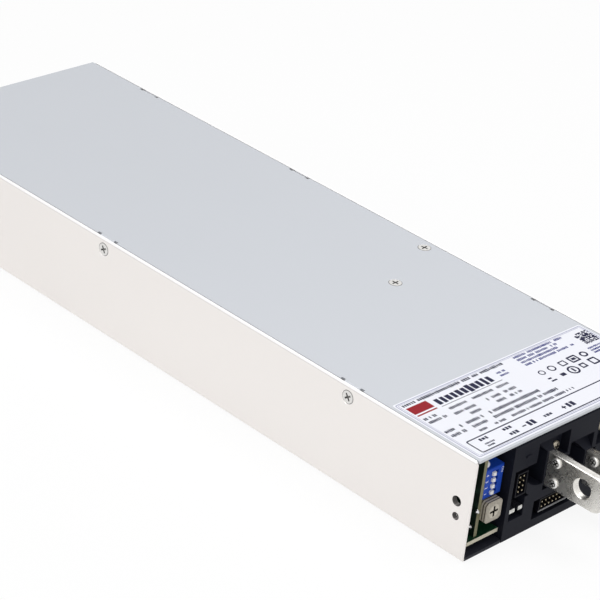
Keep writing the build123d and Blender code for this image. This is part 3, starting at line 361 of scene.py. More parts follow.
def can_finish(name, node):
    """A capacitor's printed sleeve, turned in over the rim of its bare aluminium top."""
    sleeve = (0.018, 0.022, 0.055)
    bare_depth = 0.12
    look = Look(name, 0.3, Specular_IOR_Level=0.4)
    cloud = look.noise(300.0, 2.0)
    bare = look.axes()[2] > top_of(node) - bare_depth
    shade = look.mix(cloud, tinted(sleeve, 0.85), tinted(sleeve, 1.2))
    look.to("Base Color", look.mix(bare, shade, (0.62, 0.63, 0.65)))
    look.to("Metallic", bare * 0.9)
    look.to("Roughness", cloud * 0.1 + bare * 0.08 + 0.24)
    return look.bump(cloud, 0.05, 0.02).material


def label_paper(name):
    """A white label film, faintly uneven, with a slight satin."""
    look = Look(name, 0.5, Specular_IOR_Level=0.2)
    cloud = look.noise(30.0, 2.0)
    fine = look.noise(2600.0, 2.0)
    look.to("Base Color", look.mix(cloud, (0.845, 0.855, 0.915), (0.865, 0.873, 0.93)))
    look.to("Roughness", fine * 0.08 + 0.34)
    return look.bump(fine, 0.06, 0.01).material


# Materials of this supply

# The sides and the cover are one plated sheet: the sides' light colour is painted reflection of a bright
# room, and the cover's greyer colour is painted shade.
SIDE_STEEL_PAINTED_SHEEN = (0.86, 0.825, 0.80)
COVER_STEEL_PAINTED_SHADE = (0.563, 0.583, 0.619)
TIN = (0.80, 0.78, 0.74)
BARE_COPPER = (0.55, 0.31, 0.20)
PAINTED_GLINT_BAND = 0.6
TINNED_LENGTH = 12.0

# The sides get a painted highlight along the top edge of the walls.
side_steel = sheet_steel("side_sheet_steel", SIDE_STEEL_PAINTED_SHEEN, (1.0, 1.0, 6.0), 0.4, 0.75, TOP - PAINTED_GLINT_BAND)
cover_steel = sheet_steel("cover_sheet_steel", COVER_STEEL_PAINTED_SHADE, (1.0, 6.0, 1.0), 0.55, 0.5)
black_film = moulded("black_insulating_film", (0.016, 0.017, 0.024), 0.5, 4000.0, Specular_IOR_Level=0.12)
housing_black = moulded("housing_moulding", (0.009, 0.010, 0.016), 0.55, 7000.0, Specular_IOR_Level=0.08)
header_black = moulded("header_moulding", (0.004, 0.004, 0.007), 0.5, 9000.0, Specular_IOR_Level=0.1)
fan_black = moulded("fan_moulding", (0.012, 0.012, 0.014), 0.45, 6000.0, Specular_IOR_Level=0.35)
switch_blue = moulded("switch_case_blue", (0.010, 0.062, 0.44), 0.5, 9000.0, Specular_IOR_Level=0.15)
white_plastic = moulded("slider_white", (0.84, 0.84, 0.84), 0.4, 9000.0)
lamp_resin = moulded("lamp_resin", (0.72, 0.73, 0.76), 0.2, 9000.0)
# In the screw platings, recess sets how dark the painted shade of the marked recesses and rims is.
screw_plate = plated("screw_nickel", (0.76, 0.75, 0.73), 0.22)
tin_plate = plated("tinned_copper", TIN, 0.25, 0.92, 0.26, 0.8)
dome_plate = plated("dome_screw_nickel", (0.86, 0.85, 0.83), 0.42, 0.75, recess=0.07)
brass_plate = plated("well_screw_plating", (0.40, 0.36, 0.29), 0.42, 0.8, recess=0.1)
bar_finish = tinned_bar("bus_bar_copper", TIN, BARE_COPPER, behind(TINNED_LENGTH))
gold = plated("pin_gold", (0.50, 0.43, 0.30), 0.3)
# The threads are painted near black, as painted shade inside the tapped holes.
thread_steel_painted_shade = plated("thread_steel_painted_shade", (0.085, 0.08, 0.078), 0.3)
aluminium = plated("extruded_aluminium", (0.66, 0.67, 0.69), 0.34)
solder = plated("solder", (0.66, 0.66, 0.67), 0.26)
ferrite = moulded("ferrite", (0.035, 0.035, 0.038), 0.6, 3000.0)
coil_tape = moulded("yellow_tape", (0.62, 0.45, 0.05), 0.35, 1500.0)
wound_wire = moulded("enamelled_wire", (0.42, 0.13, 0.03), 0.25, 1500.0)
device_black = moulded("device_black", (0.014, 0.014, 0.016), 0.5, 5000.0)
film_box = moulded("film_capacitor_box", (0.55, 0.40, 0.06), 0.4, 5000.0)
fuse_white = moulded("fuse_ceramic", (0.70, 0.69, 0.65), 0.3, 4000.0)
navy_ink = ink("navy_ink", (0.006, 0.007, 0.035))
blue_ink = ink("blue_ink", (0.020, 0.026, 0.17))
grey_ink = ink("grey_ink", (0.30, 0.31, 0.44))
red_ink = ink("dark_red_ink", (0.27, 0.006, 0.014))
white_ink = ink("white_ink", (0.78, 0.80, 0.82))
label_film = label_paper("label_film")

FINISHES = {
    "chassis": side_steel,
    "top_cover": cover_steel,
    "rating_label": label_film,
    "bottom_film": black_film,
    "main_board": circuit_board("main_board_laminate", "main_board", 2),
    # The control board's green and sawn edge are darker than the other boards', as painted shade under the
    # cover.
    "control_board": circuit_board("control_board_laminate", "control_board", 1,
                                   sawn=(0.20, 0.19, 0.11), green=(0.003, 0.013, 0.007)),
    "signal_board": circuit_board("signal_board_laminate", "signal_board", 0),
    "board_standoffs": screw_plate,
    "dip_switch_body": switch_blue,
    "trimmer_body": ribbed_case("trimmer_case", "trimmer_body"),
    "trimmer_rotor": slotted_rotor("trimmer_rotor_brass", "trimmer_rotor"),
    "board_lamp": lamp_resin,
    "terminal_housing": housing_black,
    "signal_header": header_black,
    "signal_pins": gold,
    "control_header": lipped_header("control_header_moulding", "control_header"),
    "control_pins": gold,
    "status_lenses": light_guide("status_lens", "status_lenses"),
    "input_block": header_black,
    "input_clamps": screw_plate,
    "bulk_capacitors": can_finish("bulk_can", "bulk_capacitors"),
    "output_capacitors": can_finish("output_can", "output_capacitors"),
    "transformer_cores": ferrite,
    "transformer_windings": coil_tape,
    "power_transistors": device_black,
    "film_capacitors": film_box,
    "inrush_relay": device_black,
    "input_fuse": fuse_white,
}
FINISHES |= {f"dip_slider_{number}": white_plastic for number in range(1, 5)}
FINISHES |= {f"fan_{part}_{number}": fan_black for part in ("frame", "rotor") for number in (1, 2)}
FINISHES |= {f"{pole}_tab": tin_plate for pole in ("negative", "positive")}
FINISHES |= {f"{pole}_bus_bar": bar_finish for pole in ("negative", "positive")}
FINISHES |= {f"{place}_heatsink": aluminium for place in ("primary", "secondary", "edge")}
FINISHES |= {f"{kind}_choke": wound_wire for kind in ("output", "boost", "line_filter")}
FINISHES |= {f"{place}_screws": screw_plate
             for place in ("side", "top", "board", "tab", "well", "fan", "input")}

for node, material in FINISHES.items():
    slots = nodes[node].data.materials
    slots.clear()
    slots.append(material)


# Meshes and Geometry Nodes


def mesh_of(bm, name):
    """A new mesh from a bmesh, which ends here."""
    mesh = bpy.data.meshes.new(name)
    bm.to_mesh(mesh)
    bm.free()
    return mesh


def placed(name, data):
    """A new object in the scene."""
    item = bpy.data.objects.new(name, data)
    bpy.context.scene.collection.objects.link(item)
    return item


def outcome(item):
    """The plain mesh that an object comes to."""
    bpy.context.view_layer.update()
    evaluated = item.evaluated_get(bpy.context.evaluated_depsgraph_get())
    return bpy.data.meshes.new_from_object(evaluated)


def piece_from(mesh, name, material=None):
    """Makes a mesh an object of the part that rides on the case."""
    piece = placed(name, mesh)
    if material:
        mesh.materials.clear()
        mesh.materials.append(material)
    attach(piece, CASE)
    return piece


class Tree:
    """A Geometry Nodes tree built in code, with named inputs."""

    def __init__(self, name, inputs):
        self.group = bpy.data.node_groups.new(name, "GeometryNodeTree")
        face = self.group.interface
        face.new_socket("Geometry", in_out="INPUT", socket_type="NodeSocketGeometry")
        for label, kind in inputs.items():
            face.new_socket(label, in_out="INPUT", socket_type=f"NodeSocket{kind}")
        face.new_socket("Geometry", in_out="OUTPUT", socket_type="NodeSocketGeometry")
        self.source = self.group.nodes.new("NodeGroupInput")
        self.sink = self.group.nodes.new("NodeGroupOutput")

    def given(self, label):
        return self.source.outputs[label]

    def add(self, kind, settings=None, values=None, out=0):
        """Makes any node: its settings first, then its sockets' values or links."""
        node = self.group.nodes.new(kind)
        for key, value in (settings or {}).items():
            setattr(node, key, value)
        for key, value in (values or {}).items():
            if isinstance(value, bpy.types.NodeSocket):
                self.group.links.new(value, node.inputs[key])
            else:
                node.inputs[key].default_value = value
        return node.outputs[out]

    def finish(self, geometry, material):
        """Ends the tree in Realize Instances and Set Material."""
        real = self.add("GeometryNodeRealizeInstances", values={"Geometry": geometry})
        done = self.add("GeometryNodeSetMaterial", values={"Geometry": real, "Material": material})
        self.group.links.new(done, self.sink.inputs["Geometry"])
        return self.group

    def sums(self, operation, first, second):
        """A sum of two values."""
        return self.add("ShaderNodeMath", {"operation": operation}, {0: first, 1: second})


def grown(tree, base, name, inputs):
    """Runs a tree on a base mesh and gives back the plain mesh it makes."""
    carrier = placed(name, base)
    modifier = carrier.modifiers.new(name, "NODES")
    modifier.node_group = tree
    for item in tree.interface.items_tree:
        if item.item_type == "SOCKET" and item.in_out == "INPUT" and item.name in inputs:
            modifier[item.identifier] = inputs[item.name]
    mesh = outcome(carrier)
    bpy.data.objects.remove(carrier)
    return mesh


def set_out_tree():
    """Sets a copy of one shape at each point of a mesh, turned along the point's way and spun."""
    tree = Tree("set_out", {"Shape": "Object", "Material": "Material", "Spin": "Float", "Seed": "Int"})
    shape = tree.add("GeometryNodeObjectInfo", values={"Object": tree.given("Shape")}, out="Geometry")
    points = tree.add("GeometryNodeMeshToPoints", values={"Mesh": tree.given("Geometry")})
    way = tree.add("GeometryNodeInputNamedAttribute", {"data_type": "FLOAT_VECTOR"}, {"Name": "way"})
    turn = tree.add("FunctionNodeAlignRotationToVector", {"axis": "Z"}, {"Vector": way})
    spin = tree.add("FunctionNodeRandomValue", {"data_type": "FLOAT"},
                    {"Min": 0.0, "Max": tree.given("Spin"), "Seed": tree.given("Seed")}, out=1)
    twist = tree.add("ShaderNodeCombineXYZ", values={"Z": spin})
    rotation = tree.add("FunctionNodeRotateRotation", {"rotation_space": "LOCAL"},
                        {"Rotation": turn, "Rotate By": twist})
    copies = tree.add("GeometryNodeInstanceOnPoints",
                      values={"Points": points, "Instance": shape, "Rotation": rotation})
    return tree.finish(copies, tree.given("Material"))


def row_of_bars_tree():
    """A row of small bars of uneven width and height, with gaps left by chance."""
    tree = Tree("row_of_bars", {"Length": "Float", "Tall": "Float", "Pitch": "Float", "Gaps": "Float",
                                "Thick": "Float", "Material": "Material", "Seed": "Int"})
    count = tree.sums("DIVIDE", tree.given("Length"), tree.given("Pitch"))
    step = tree.add("ShaderNodeCombineXYZ", values={"Y": tree.given("Pitch")})
    line = tree.add("GeometryNodeMeshLine", values={"Count": count, "Offset": step})
    chance = tree.add("FunctionNodeRandomValue", {"data_type": "FLOAT"}, {"Seed": tree.given("Seed")}, out=1)
    gap = tree.add("FunctionNodeCompare", {"operation": "LESS_THAN"}, {0: chance, 1: tree.given("Gaps")})
    kept = tree.add("GeometryNodeDeleteGeometry", {"domain": "POINT"}, {"Geometry": line, "Selection": gap})
    points = tree.add("GeometryNodeMeshToPoints", values={"Mesh": kept})
    seed = tree.sums("ADD", tree.given("Seed"), 7.0)
    wide = tree.add("FunctionNodeRandomValue", {"data_type": "FLOAT"},
                    {"Min": 0.6, "Max": 0.86, "Seed": seed}, out=1)
    wide = tree.sums("MULTIPLY", wide, tree.given("Pitch"))
    seed = tree.sums("ADD", tree.given("Seed"), 11.0)
    tall = tree.add("FunctionNodeRandomValue", {"data_type": "FLOAT"},
                    {"Min": 0.75, "Max": 1.1, "Seed": seed}, out=1)
    tall = tree.sums("MULTIPLY", tall, tree.given("Tall"))
    size = tree.add("ShaderNodeCombineXYZ", values={"X": tall, "Y": wide, "Z": tree.given("Thick")})
    bar = tree.add("GeometryNodeMeshCube")
    bars = tree.add("GeometryNodeInstanceOnPoints", values={"Points": points, "Instance": bar, "Scale": size})
    return tree.finish(bars, tree.given("Material"))


set_out = set_out_tree()
row_of_bars = row_of_bars_tree()


def points_mesh(name, places):
    """A mesh of loose points in millimetres, each with the way that its copy faces."""
    mesh = bpy.data.meshes.new(name)
    mesh.from_pydata([tuple(MM * c for c in place) for place, way in places], [], [])
    ways = mesh.attributes.new("way", "FLOAT_VECTOR", "POINT")
    for item, (place, way) in zip(ways.data, places):
        item.vector = way
    return mesh


def set_out_pieces(name, shape, places, material, seed, spin=0.0):
    """One piece made of copies of a shape at the given places."""
    inputs = {"Shape": shape, "Material": material, "Spin": spin, "Seed": seed}
    return piece_from(grown(set_out, points_mesh(name, places), name, inputs), name)


def lathed(profile, sides=28, closed=False):
    """A mesh turned about Z from (radius, height) pairs in millimetres; a closed profile gives a ring."""
    bm = bmesh.new()
    rings = []
    for radius, height in profile:
        if radius == 0:
            rings.append([bm.verts.new((0, 0, height * MM))])
            continue
        ring = []
        for i in range(sides):
            turn = 2 * pi * i / sides
            ring.append(bm.verts.new((radius * cos(turn) * MM, radius * sin(turn) * MM, height * MM)))
        rings.append(ring)
    for upper, lower in zip(rings, rings[1:] + rings[:1] if closed else rings[1:]):
        for i in range(sides):
            j = (i + 1) % sides
            if len(upper) == 1:
                bm.faces.new((upper[0], lower[i], lower[j]))
            elif len(lower) == 1:
                bm.faces.new((upper[i], lower[0], upper[j]))
            else:
                bm.faces.new((upper[i], lower[i], lower[j], upper[j]))
    bmesh.ops.recalc_face_normals(bm, faces=bm.faces)
    return mesh_of(bm, "turned")


def tube(bm, rings, name):
    """A closed mesh from rings of vertices, each joined to the next and the last to the first."""
    for first, second in zip(rings, rings[1:] + rings[:1]):
        for i in range(len(first)):
            j = (i + 1) % len(first)
            bm.faces.new((first[i], first[j], second[j], second[i]))
    bmesh.ops.recalc_face_normals(bm, faces=bm.faces)
    return mesh_of(bm, name)


def box_mesh(size, centre):
    """A closed box in millimetres."""
    bm = bmesh.new()
    bmesh.ops.create_cube(bm, size=1.0)
    for vert in bm.verts:
        vert.co = Vector([vert.co[k] * size[k] + centre[k] for k in range(3)]) * MM
    return mesh_of(bm, "block")


def joined(meshes, name):
    """Several meshes as one."""
    bm = bmesh.new()
    for mesh in meshes:
        bm.from_mesh(mesh)
    return mesh_of(bm, name)


def merged_copy(node):
    """A copy of a CAD node's mesh with its loose triangles joined, as a bmesh."""
    bm = bmesh.new()
    bm.from_mesh(nodes[node].data)
    bmesh.ops.remove_doubles(bm, verts=bm.verts, dist=1e-7)
    return bm


def moved_to(mesh, place):
    """Moves a mesh by a place in millimetres."""
    mesh.transform(Matrix.Translation(Vector(place) * MM))
    return mesh


def hidden_object(mesh, name):
    """An object that only lends its shape to a tree."""
    return bpy.data.objects.new(name, mesh)


def cut_by(mesh, tool, name):
    """A mesh with a tool shape cut out of it."""
    carrier = placed(name, mesh)
    cutter = placed(name + "_tool", tool)
    cut = carrier.modifiers.new("cut", "BOOLEAN")
    cut.operation = "DIFFERENCE"
    cut.solver = "EXACT"
    cut.object = cutter
    result = outcome(carrier)
    for item in (carrier, cutter):
        bpy.data.objects.remove(item)
    return result


def smooth(mesh, angle):
    """Smooth shading between faces that meet at a small angle."""
    mesh.shade_smooth()
    mesh.set_sharp_from_angle(angle=radians(angle))
    return mesh


# Screws

SCREW_TIP = 0.3


def cross_tool(wide, arm, deep):
    """The tapered cross that a driver leaves, from above z = 0 down to its depth, as two arms."""
    above = 0.6 * deep
    foot = 0.6 * wide
    arms = []
    for turn in (0.0, pi / 2):
        bm = bmesh.new()
        bmesh.ops.create_cube(bm, size=1.0)
        for vert in bm.verts:
            top = vert.co.z > 0
            half = (wide if top else foot) / 2
            vert.co = Vector(((1 if vert.co.x > 0 else -1) * half, (1 if vert.co.y > 0 else -1) * arm / 2,
                              above if top else -deep)) * MM
        bmesh.ops.rotate(bm, verts=bm.verts, cent=(0, 0, 0), matrix=Matrix.Rotation(turn, 3, "Z"))
        arms.append(mesh_of(bm, "arm"))
    return arms


def marked_deep(mesh, reach, low, high, rim):
    """Marks faces for painted shade: a recess, faces within reach of the axis between two heights, and any
    past the rim's radius.
    """
    marks = mesh.attributes.new("deep", "FLOAT", "FACE")
    for item, face in zip(marks.data, mesh.polygons):
        middle = face.center / MM
        out = middle.xy.length
        near = out < reach and low < middle.z < high
        item.value = 1.0 if near or (rim and out > rim) else 0.0
    return mesh


def with_cross(mesh, wide, arm, deep, face, rim=None):
    """A screw with a cross recess cut down from the height of its face; the recess, and the rim if one is
    given, are marked for painted shade.
    """
    beside = 0.02
    below = 0.05
    clean = 0.12 * deep
    for tool in cross_tool(wide, arm, deep):
        mesh = cut_by(mesh, moved_to(tool, (0, 0, face)), "recess")
    return smooth(marked_deep(mesh, arm / 2 + beside, face - deep - below, face - clean, rim), 30.0)


def shank_end(shank, height, reach):
    """The lower part of a screw's profile: its shank from a height down to a chamfered tip."""
    return [(shank / 2, height), (shank / 2, -reach + SCREW_TIP), (shank / 2 - SCREW_TIP, -reach),
            (0, -reach)]


def flat_screw(shank, head, head_height, reach):
    """A countersunk screw with its face at z = 0."""
    radius = head / 2
    recess = 0.55
    profile = [(0, 0), (0.88 * radius, 0), (radius, -0.12), (radius - 0.06, -0.2)]
    profile += shank_end(shank, -head_height, reach)
    # The rim past 0.9 of the head's radius is marked for painted shade.
    return with_cross(lathed(profile), 0.15 * head, 0.56 * head, recess, face=0.0, rim=0.9 * radius)


def dome_screw(shank, head, head_height, reach, arm=0.6):
    """A domed screw with the underside of its head at z = 0."""
    steps = 6
    rim = 0.12
    fullness = 0.8
    profile = [(0, head_height)]
    for i in range(1, steps + 1):
        turn = i / steps * pi / 2
        profile.append((head / 2 * sin(turn) ** fullness, 0.3 * head_height + 0.7 * head_height * cos(turn)))
    profile += [(head / 2, rim), (head / 2 - rim, 0)] + shank_end(shank, 0, reach)
    return with_cross(lathed(profile), 0.19 * head, arm * head, 0.65 * head_height, face=head_height)


def loose_solids(node):
    """The middle and the lowest and highest corners of each solid of a CAD node, in millimetres."""
    bm = merged_copy(node)
    left = set(bm.verts)
    found = []
    while left:
        stack = [left.pop()]
        island = list(stack)
        while stack:
            for edge in stack.pop().link_edges:
                for vert in edge.verts:
                    if vert in left:
                        left.remove(vert)
                        stack.append(vert)
                        island.append(vert)
        low = Vector([min(v.co[k] for v in island) / MM for k in range(3)])
        high = Vector([max(v.co[k] for v in island) / MM for k in range(3)])
        found.append(((low + high) / 2, low, high))
    bm.free()
    return sorted(found, key=lambda item: tuple(round(c, 3) for c in item[0]))


def outer_end(way, head_height=0.0):
    """Seats a screw at the outer end of its solid, lower by the height of a domed head."""
    axis = [abs(part) for part in way].index(1)

    def seat(middle, low, high):
        place = list(middle)
        place[axis] = high[axis] - head_height if way[axis] > 0 else low[axis] + head_height
        return place, way
    return seat


def outer_wall(middle, low, high):
    """Seats a side screw with its face on the outer face of its wall."""
    side = 1 if middle.y > 0 else -1
    return (middle.x, side * HALF, middle.z), (0, side, 0)


def screw_set(node, shape, seat, seed, material=screw_plate):
    """Detailed screws in place of a CAD node of screws. seat gives a screw's place and way."""
    lender = hidden_object(shape, node + "_shape")
    places = [seat(*solid) for solid in loose_solids(node)]
    piece = set_out_pieces(node + "_detailed", lender, places, material, seed, spin=2 * pi)
    smooth(piece.data, 30.0)
    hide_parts(node)


def domed_set(node, way, seed, material=screw_plate, **size):
    """Domed screws in place of a CAD node, each seated by the height of its head."""
    screw_set(node, dome_screw(**size), outer_end(way, size["head_height"]), seed, material)


case_screw = flat_screw(shank=3.0, head=5.6, head_height=0.8, reach=5.0)
fan_screw = flat_screw(shank=2.8, head=5.6, head_height=0.8, reach=8.0)
screw_set("side_screws", case_screw, outer_wall, seed=3)
screw_set("top_screws", case_screw, outer_end((0, 0, 1)), seed=5)
screw_set("fan_screws", fan_screw, outer_end((-1, 0, 0)), seed=7)
domed_set("tab_screws", (0, -1, 0), seed=11, material=dome_plate,
          shank=2.5, head=3.9, head_height=1.0, reach=5.6, arm=0.66)
domed_set("well_screws", (1, 0, 0), seed=13, material=brass_plate,
          shank=2.5, head=4.0, head_height=1.2, reach=4.3)
domed_set("board_screws", (0, 0, 1), seed=17, shank=3.0, head=5.4, head_height=1.8, reach=3.8)
domed_set("input_screws", (0, 0, 1), seed=19, shank=3.5, head=6.0, head_height=2.2, reach=6.5)


# Chokes: enamelled wire wound round a ring core


def turns_tree():
    """Sets equal copies of one turn around Z."""
    tree = Tree("turns", {"Shape": "Object", "Count": "Int", "Material": "Material"})
    shape = tree.add("GeometryNodeObjectInfo", values={"Object": tree.given("Shape")}, out="Geometry")
    line = tree.add("GeometryNodeMeshLine", values={"Count": tree.given("Count"), "Offset": (0, 0, 0)})
    points = tree.add("GeometryNodeMeshToPoints", values={"Mesh": line})
    share = tree.sums("DIVIDE", tree.add("GeometryNodeInputIndex"), tree.given("Count"))
    angle = tree.sums("MULTIPLY", share, 2 * pi)
    turn = tree.add("ShaderNodeCombineXYZ", values={"Z": angle})
    copies = tree.add("GeometryNodeInstanceOnPoints",
                      values={"Points": points, "Instance": shape, "Rotation": turn})
    return tree.finish(copies, tree.given("Material"))


turns = turns_tree()


def wire_turn(inner, outer, low, high, wire):
    """One closed turn of wire around a ring's section, in the X-Z plane."""
    sides = 6
    corner_steps = 4
    corner = 1.6 * wire
    path = []
    for cx, cz, first in ((outer - corner, high - corner, 0), (inner + corner, high - corner, 90),
                          (inner + corner, low + corner, 180), (outer - corner, low + corner, 270)):
        for k in range(corner_steps):
            turn = radians(first + 90 / (corner_steps - 1) * k)
            normal = Vector((cos(turn), 0, sin(turn)))
            path.append((Vector((cx, 0, cz)) + normal * (corner - wire / 2), normal))
    bm = bmesh.new()
    rings = []
    for place, normal in path:
        ring = []
        for k in range(sides):
            turn = 2 * pi * k / sides
            spot = place + (normal * cos(turn) + Vector((0, 1, 0)) * sin(turn)) * (wire / 2)
            ring.append(bm.verts.new(spot * MM))
        rings.append(ring)
    return smooth(tube(bm, rings, "wire_turn"), 60.0)


def ring_core(inner, outer, low, high):
    """The ring core, chamfered, about Z."""
    edge = 0.6
    profile = [(outer - edge, high), (inner + edge, high), (inner, high - edge), (inner, low + edge),
               (inner + edge, low), (outer - edge, low), (outer, low + edge), (outer, high - edge)]
    return smooth(lathed(profile, 40, closed=True), 40.0)


def wound_choke(node, wire):
    """A wound ring choke in place of a CAD ring, inside the ring's own envelope."""
    slack = 0.02
    crowding = 1.06
    low, high = corners(node)
    centre = (low + high) / 2
    outer = (high.x - low.x) / 2
    inner = min((vert.co.xy / MM - centre.xy).length for vert in nodes[node].data.vertices)
    half = (high.z - low.z) / 2
    count = int(2 * pi * (inner + wire / 2) / (crowding * wire))
    lender = hidden_object(wire_turn(inner, outer - slack, -half, half, wire), node + "_turn")
    inputs = {"Shape": lender, "Count": count, "Material": wound_wire}
    mesh = smooth(moved_to(grown(turns, bpy.data.meshes.new(node), node, inputs), centre), 60.0)
    winding = piece_from(mesh, node + "_winding")
    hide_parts(node)
    core = ring_core(inner + wire, outer - wire, -half + wire, half - wire)
    piece_from(moved_to(core, centre), node + "_core", ferrite)


wound_choke("line_filter_choke", wire=1.1)
wound_choke("boost_choke", wire=1.3)
wound_choke("output_choke", wire=1.6)


# Threads of the tapped holes, where the record's bolt patterns have them

THREAD_REACH = 2.2
FIRST_TURN_PITCHES = 0.6
mounts = {mount["name"]: mount for mount in frame["record"]["mounts"]}


def thread_ring(radius, pitch):
    """One turn of a thread as a closed ring, its axis on Z."""
    crest = radius - 0.5 * pitch
    profile = [(radius, pitch / 2), (crest, 0.1 * pitch), (crest, -0.1 * pitch), (radius, -pitch / 2)]
    return lathed(profile, 20, closed=True)


def tapped_holes(mount):
    """The holes of a bolt pattern: each one's place in millimetres and the way that it faces."""
    x, y, z = [coordinate / MM for coordinate in mount["pos_m"]]
    half_x = mount["dims"]["spacing_x_mm"] / 2
    half_y = mount["dims"].get("spacing_y_mm", 0.0) / 2
    return [((x + i * half_x, y + j * half_y, z), mount["axis"])
            for i in (1, -1) for j in ((1, -1) if half_y else (0,))]


def thread_set(name, patterns, pitch, seed):
    """The threads of some bolt patterns of one size, ring by ring."""
    radius = mounts[patterns[0]]["dims"]["hole_r_mm"]
    places = []
    for pattern in patterns:
        for place, way in tapped_holes(mounts[pattern]):
            for k in range(int(THREAD_REACH / pitch)):
                down = Vector(way) * (pitch * (k + FIRST_TURN_PITCHES))
                places.append((Vector(place) - down, way))
    shape = hidden_object(thread_ring(radius, pitch), name + "_shape")
    set_out_pieces(name, shape, places, thread_steel_painted_shade, seed)


thread_set("mount_threads", ("near_side_holes", "far_side_holes", "base_holes"), pitch=0.7, seed=41)
thread_set("small_threads", ("near_small_holes", "far_small_holes"), pitch=0.5, seed=43)


# Marks of the switch block and solder joints of its board

NUMBER_SIZE = 1.9
NUMBER_FROM_EDGE = 1.05
ON_SIZE = 1.5
ON_FROM_EDGE = 0.85
ON_BELOW_TOP = 2.2
JOINT_DEPTHS_AND_HEIGHTS = ((3.0, 16.4), (5.2, 9.0))

switch_low, switch_high = corners("dip_switch_body")


def mark(text, size, y, z):
    """A printed word or number as a flat mesh on the front of the switch block, its top towards +Y."""
    curve = bpy.data.curves.new("mark", "FONT")
    curve.body = text
    curve.size = size * MM
    curve.extrude = 0.01 * MM
    curve.align_x = "CENTER"
    curve.align_y = "CENTER"
    carrier = placed("mark", curve)
    mesh = outcome(carrier)
    bpy.data.objects.remove(carrier)
    right, up = Vector((0, 0, -1)), Vector((0, 1, 0))
    mesh.transform(Matrix((right, up, right.cross(up))).transposed().to_4x4())
    return moved_to(mesh, (switch_high.x, y, z))


switch_marks = []
for number in range(1, 5):
    low, high = corners(f"dip_slider_{number}")
    middle = (low.z + high.z) / 2
    switch_marks.append(mark(str(number), NUMBER_SIZE, switch_low.y + NUMBER_FROM_EDGE, middle))
switch_marks.append(mark("ON", ON_SIZE, switch_high.y - ON_FROM_EDGE, switch_high.z - ON_BELOW_TOP))
piece_from(joined(switch_marks, "switch_marks"), "switch_marks", white_ink)


def solder_joint():
    """A small cone of solder with a clipped lead, standing on Z = 0."""
    profile = [(0, 0.9), (0.28, 0.86), (0.34, 0.5), (0.55, 0.22), (0.9, 0.0), (0, 0)]
    return smooth(lathed(profile, 12), 50.0)


board_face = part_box("control_board")[0].y / MM
joint_places = [((behind(depth), board_face, height), (0, -1, 0))
                for depth, height in JOINT_DEPTHS_AND_HEIGHTS]
lender = hidden_object(solder_joint(), "solder_joint_shape")
set_out_pieces("control_board_joints", lender, joint_places, solder, seed=47)


# Print of the label

INK = 0.02
PRINT_Z = LABEL_TOP - INK / 2


def bare_label():
    """The label film, thinner by its ink, so that the print ends where the solid does."""
    mesh = mesh_of(merged_copy("rating_label"), "rating_label_copy")
    for vert in mesh.vertices:
        if vert.co.z > PRINT_Z * MM:
            vert.co.z -= INK * MM
    film = piece_from(mesh, "label_film_below_print", label_film)
    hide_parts("rating_label")


bare_label()


def bars(name, material, start, length, depth, tall, pitch, gaps, seed):
    """A row of small bars from a start, along the label, at a depth behind the output end."""
    inputs = {"Length": length * MM, "Tall": tall * MM, "Pitch": pitch * MM, "Gaps": gaps, "Thick": INK * MM,
              "Material": material, "Seed": seed}
    mesh = grown(row_of_bars, bpy.data.meshes.new(name), name, inputs)
    return moved_to(mesh, (behind(depth), across(start + pitch / 2), PRINT_Z))


def bar_rows(name, material, rows, gaps, first_seed):
    """Rows of bars, each from its start, length, depth, height of the bars and their pitch."""
    return [bars(name, material, *row, gaps, first_seed + i) for i, row in enumerate(rows)]


def bar(start, end, near_depth, far_depth):
    """One plain bar between two places across and two depths."""
    size = (far_depth - near_depth, end - start, INK)
    return box_mesh(size, (behind((near_depth + far_depth) / 2), across((start + end) / 2), PRINT_Z))


def rounded_outline(start, end, near_depth, far_depth, radius):
    """The corners of a rounded rectangle on the label, as places across and depths."""
    corner_steps = 6
    places = []
    for y, d, first in ((end - radius, far_depth - radius, 0), (start + radius, far_depth - radius, 90),
                        (start + radius, near_depth + radius, 180), (end - radius, near_depth + radius, 270)):
        for k in range(corner_steps + 1):
            turn = radians(first + 90 / corner_steps * k)
            places.append((y + radius * cos(turn), d + radius * sin(turn)))
    return places


def frame_lines(start, end, near_depth, far_depth, line, corner):
    """The outline of a rectangle with rounded corners, as one closed mesh."""
    outer, inner = [rounded_outline(start + inset, end - inset, near_depth + inset, far_depth - inset,
                                    max(corner - inset, 0.01)) for inset in (0.0, line)]
    bm = bmesh.new()
    rings = []
    for ring, height in ((outer, INK / 2), (inner, INK / 2), (inner, -INK / 2), (outer, -INK / 2)):
        rings.append([bm.verts.new(Vector((behind(d), across(y), PRINT_Z + height)) * MM) for y, d in ring])
    return tube(bm, rings, "frame")


def ring_mark(centre, depth, radius, line):
    """A plain ring on the label."""
    return frame_lines(centre - radius, centre + radius, depth - radius, depth + radius, line, radius)


def squares(start, end, near_depth, far_depth, step, share, seed):
    """A patch of small squares, set by chance."""
    chance = random.Random(seed)
    found = []
    for i in range(round((far_depth - near_depth) / step)):
        for j in range(round((end - start) / step)):
            if chance.random() < share:
                y, d = start + j * step, near_depth + i * step
                found.append(bar(y, y + step, d, d + step))
    return found


def print_piece(name, material, meshes):
    """One colour of the label's print."""
    piece_from(joined(meshes, name), name, material)


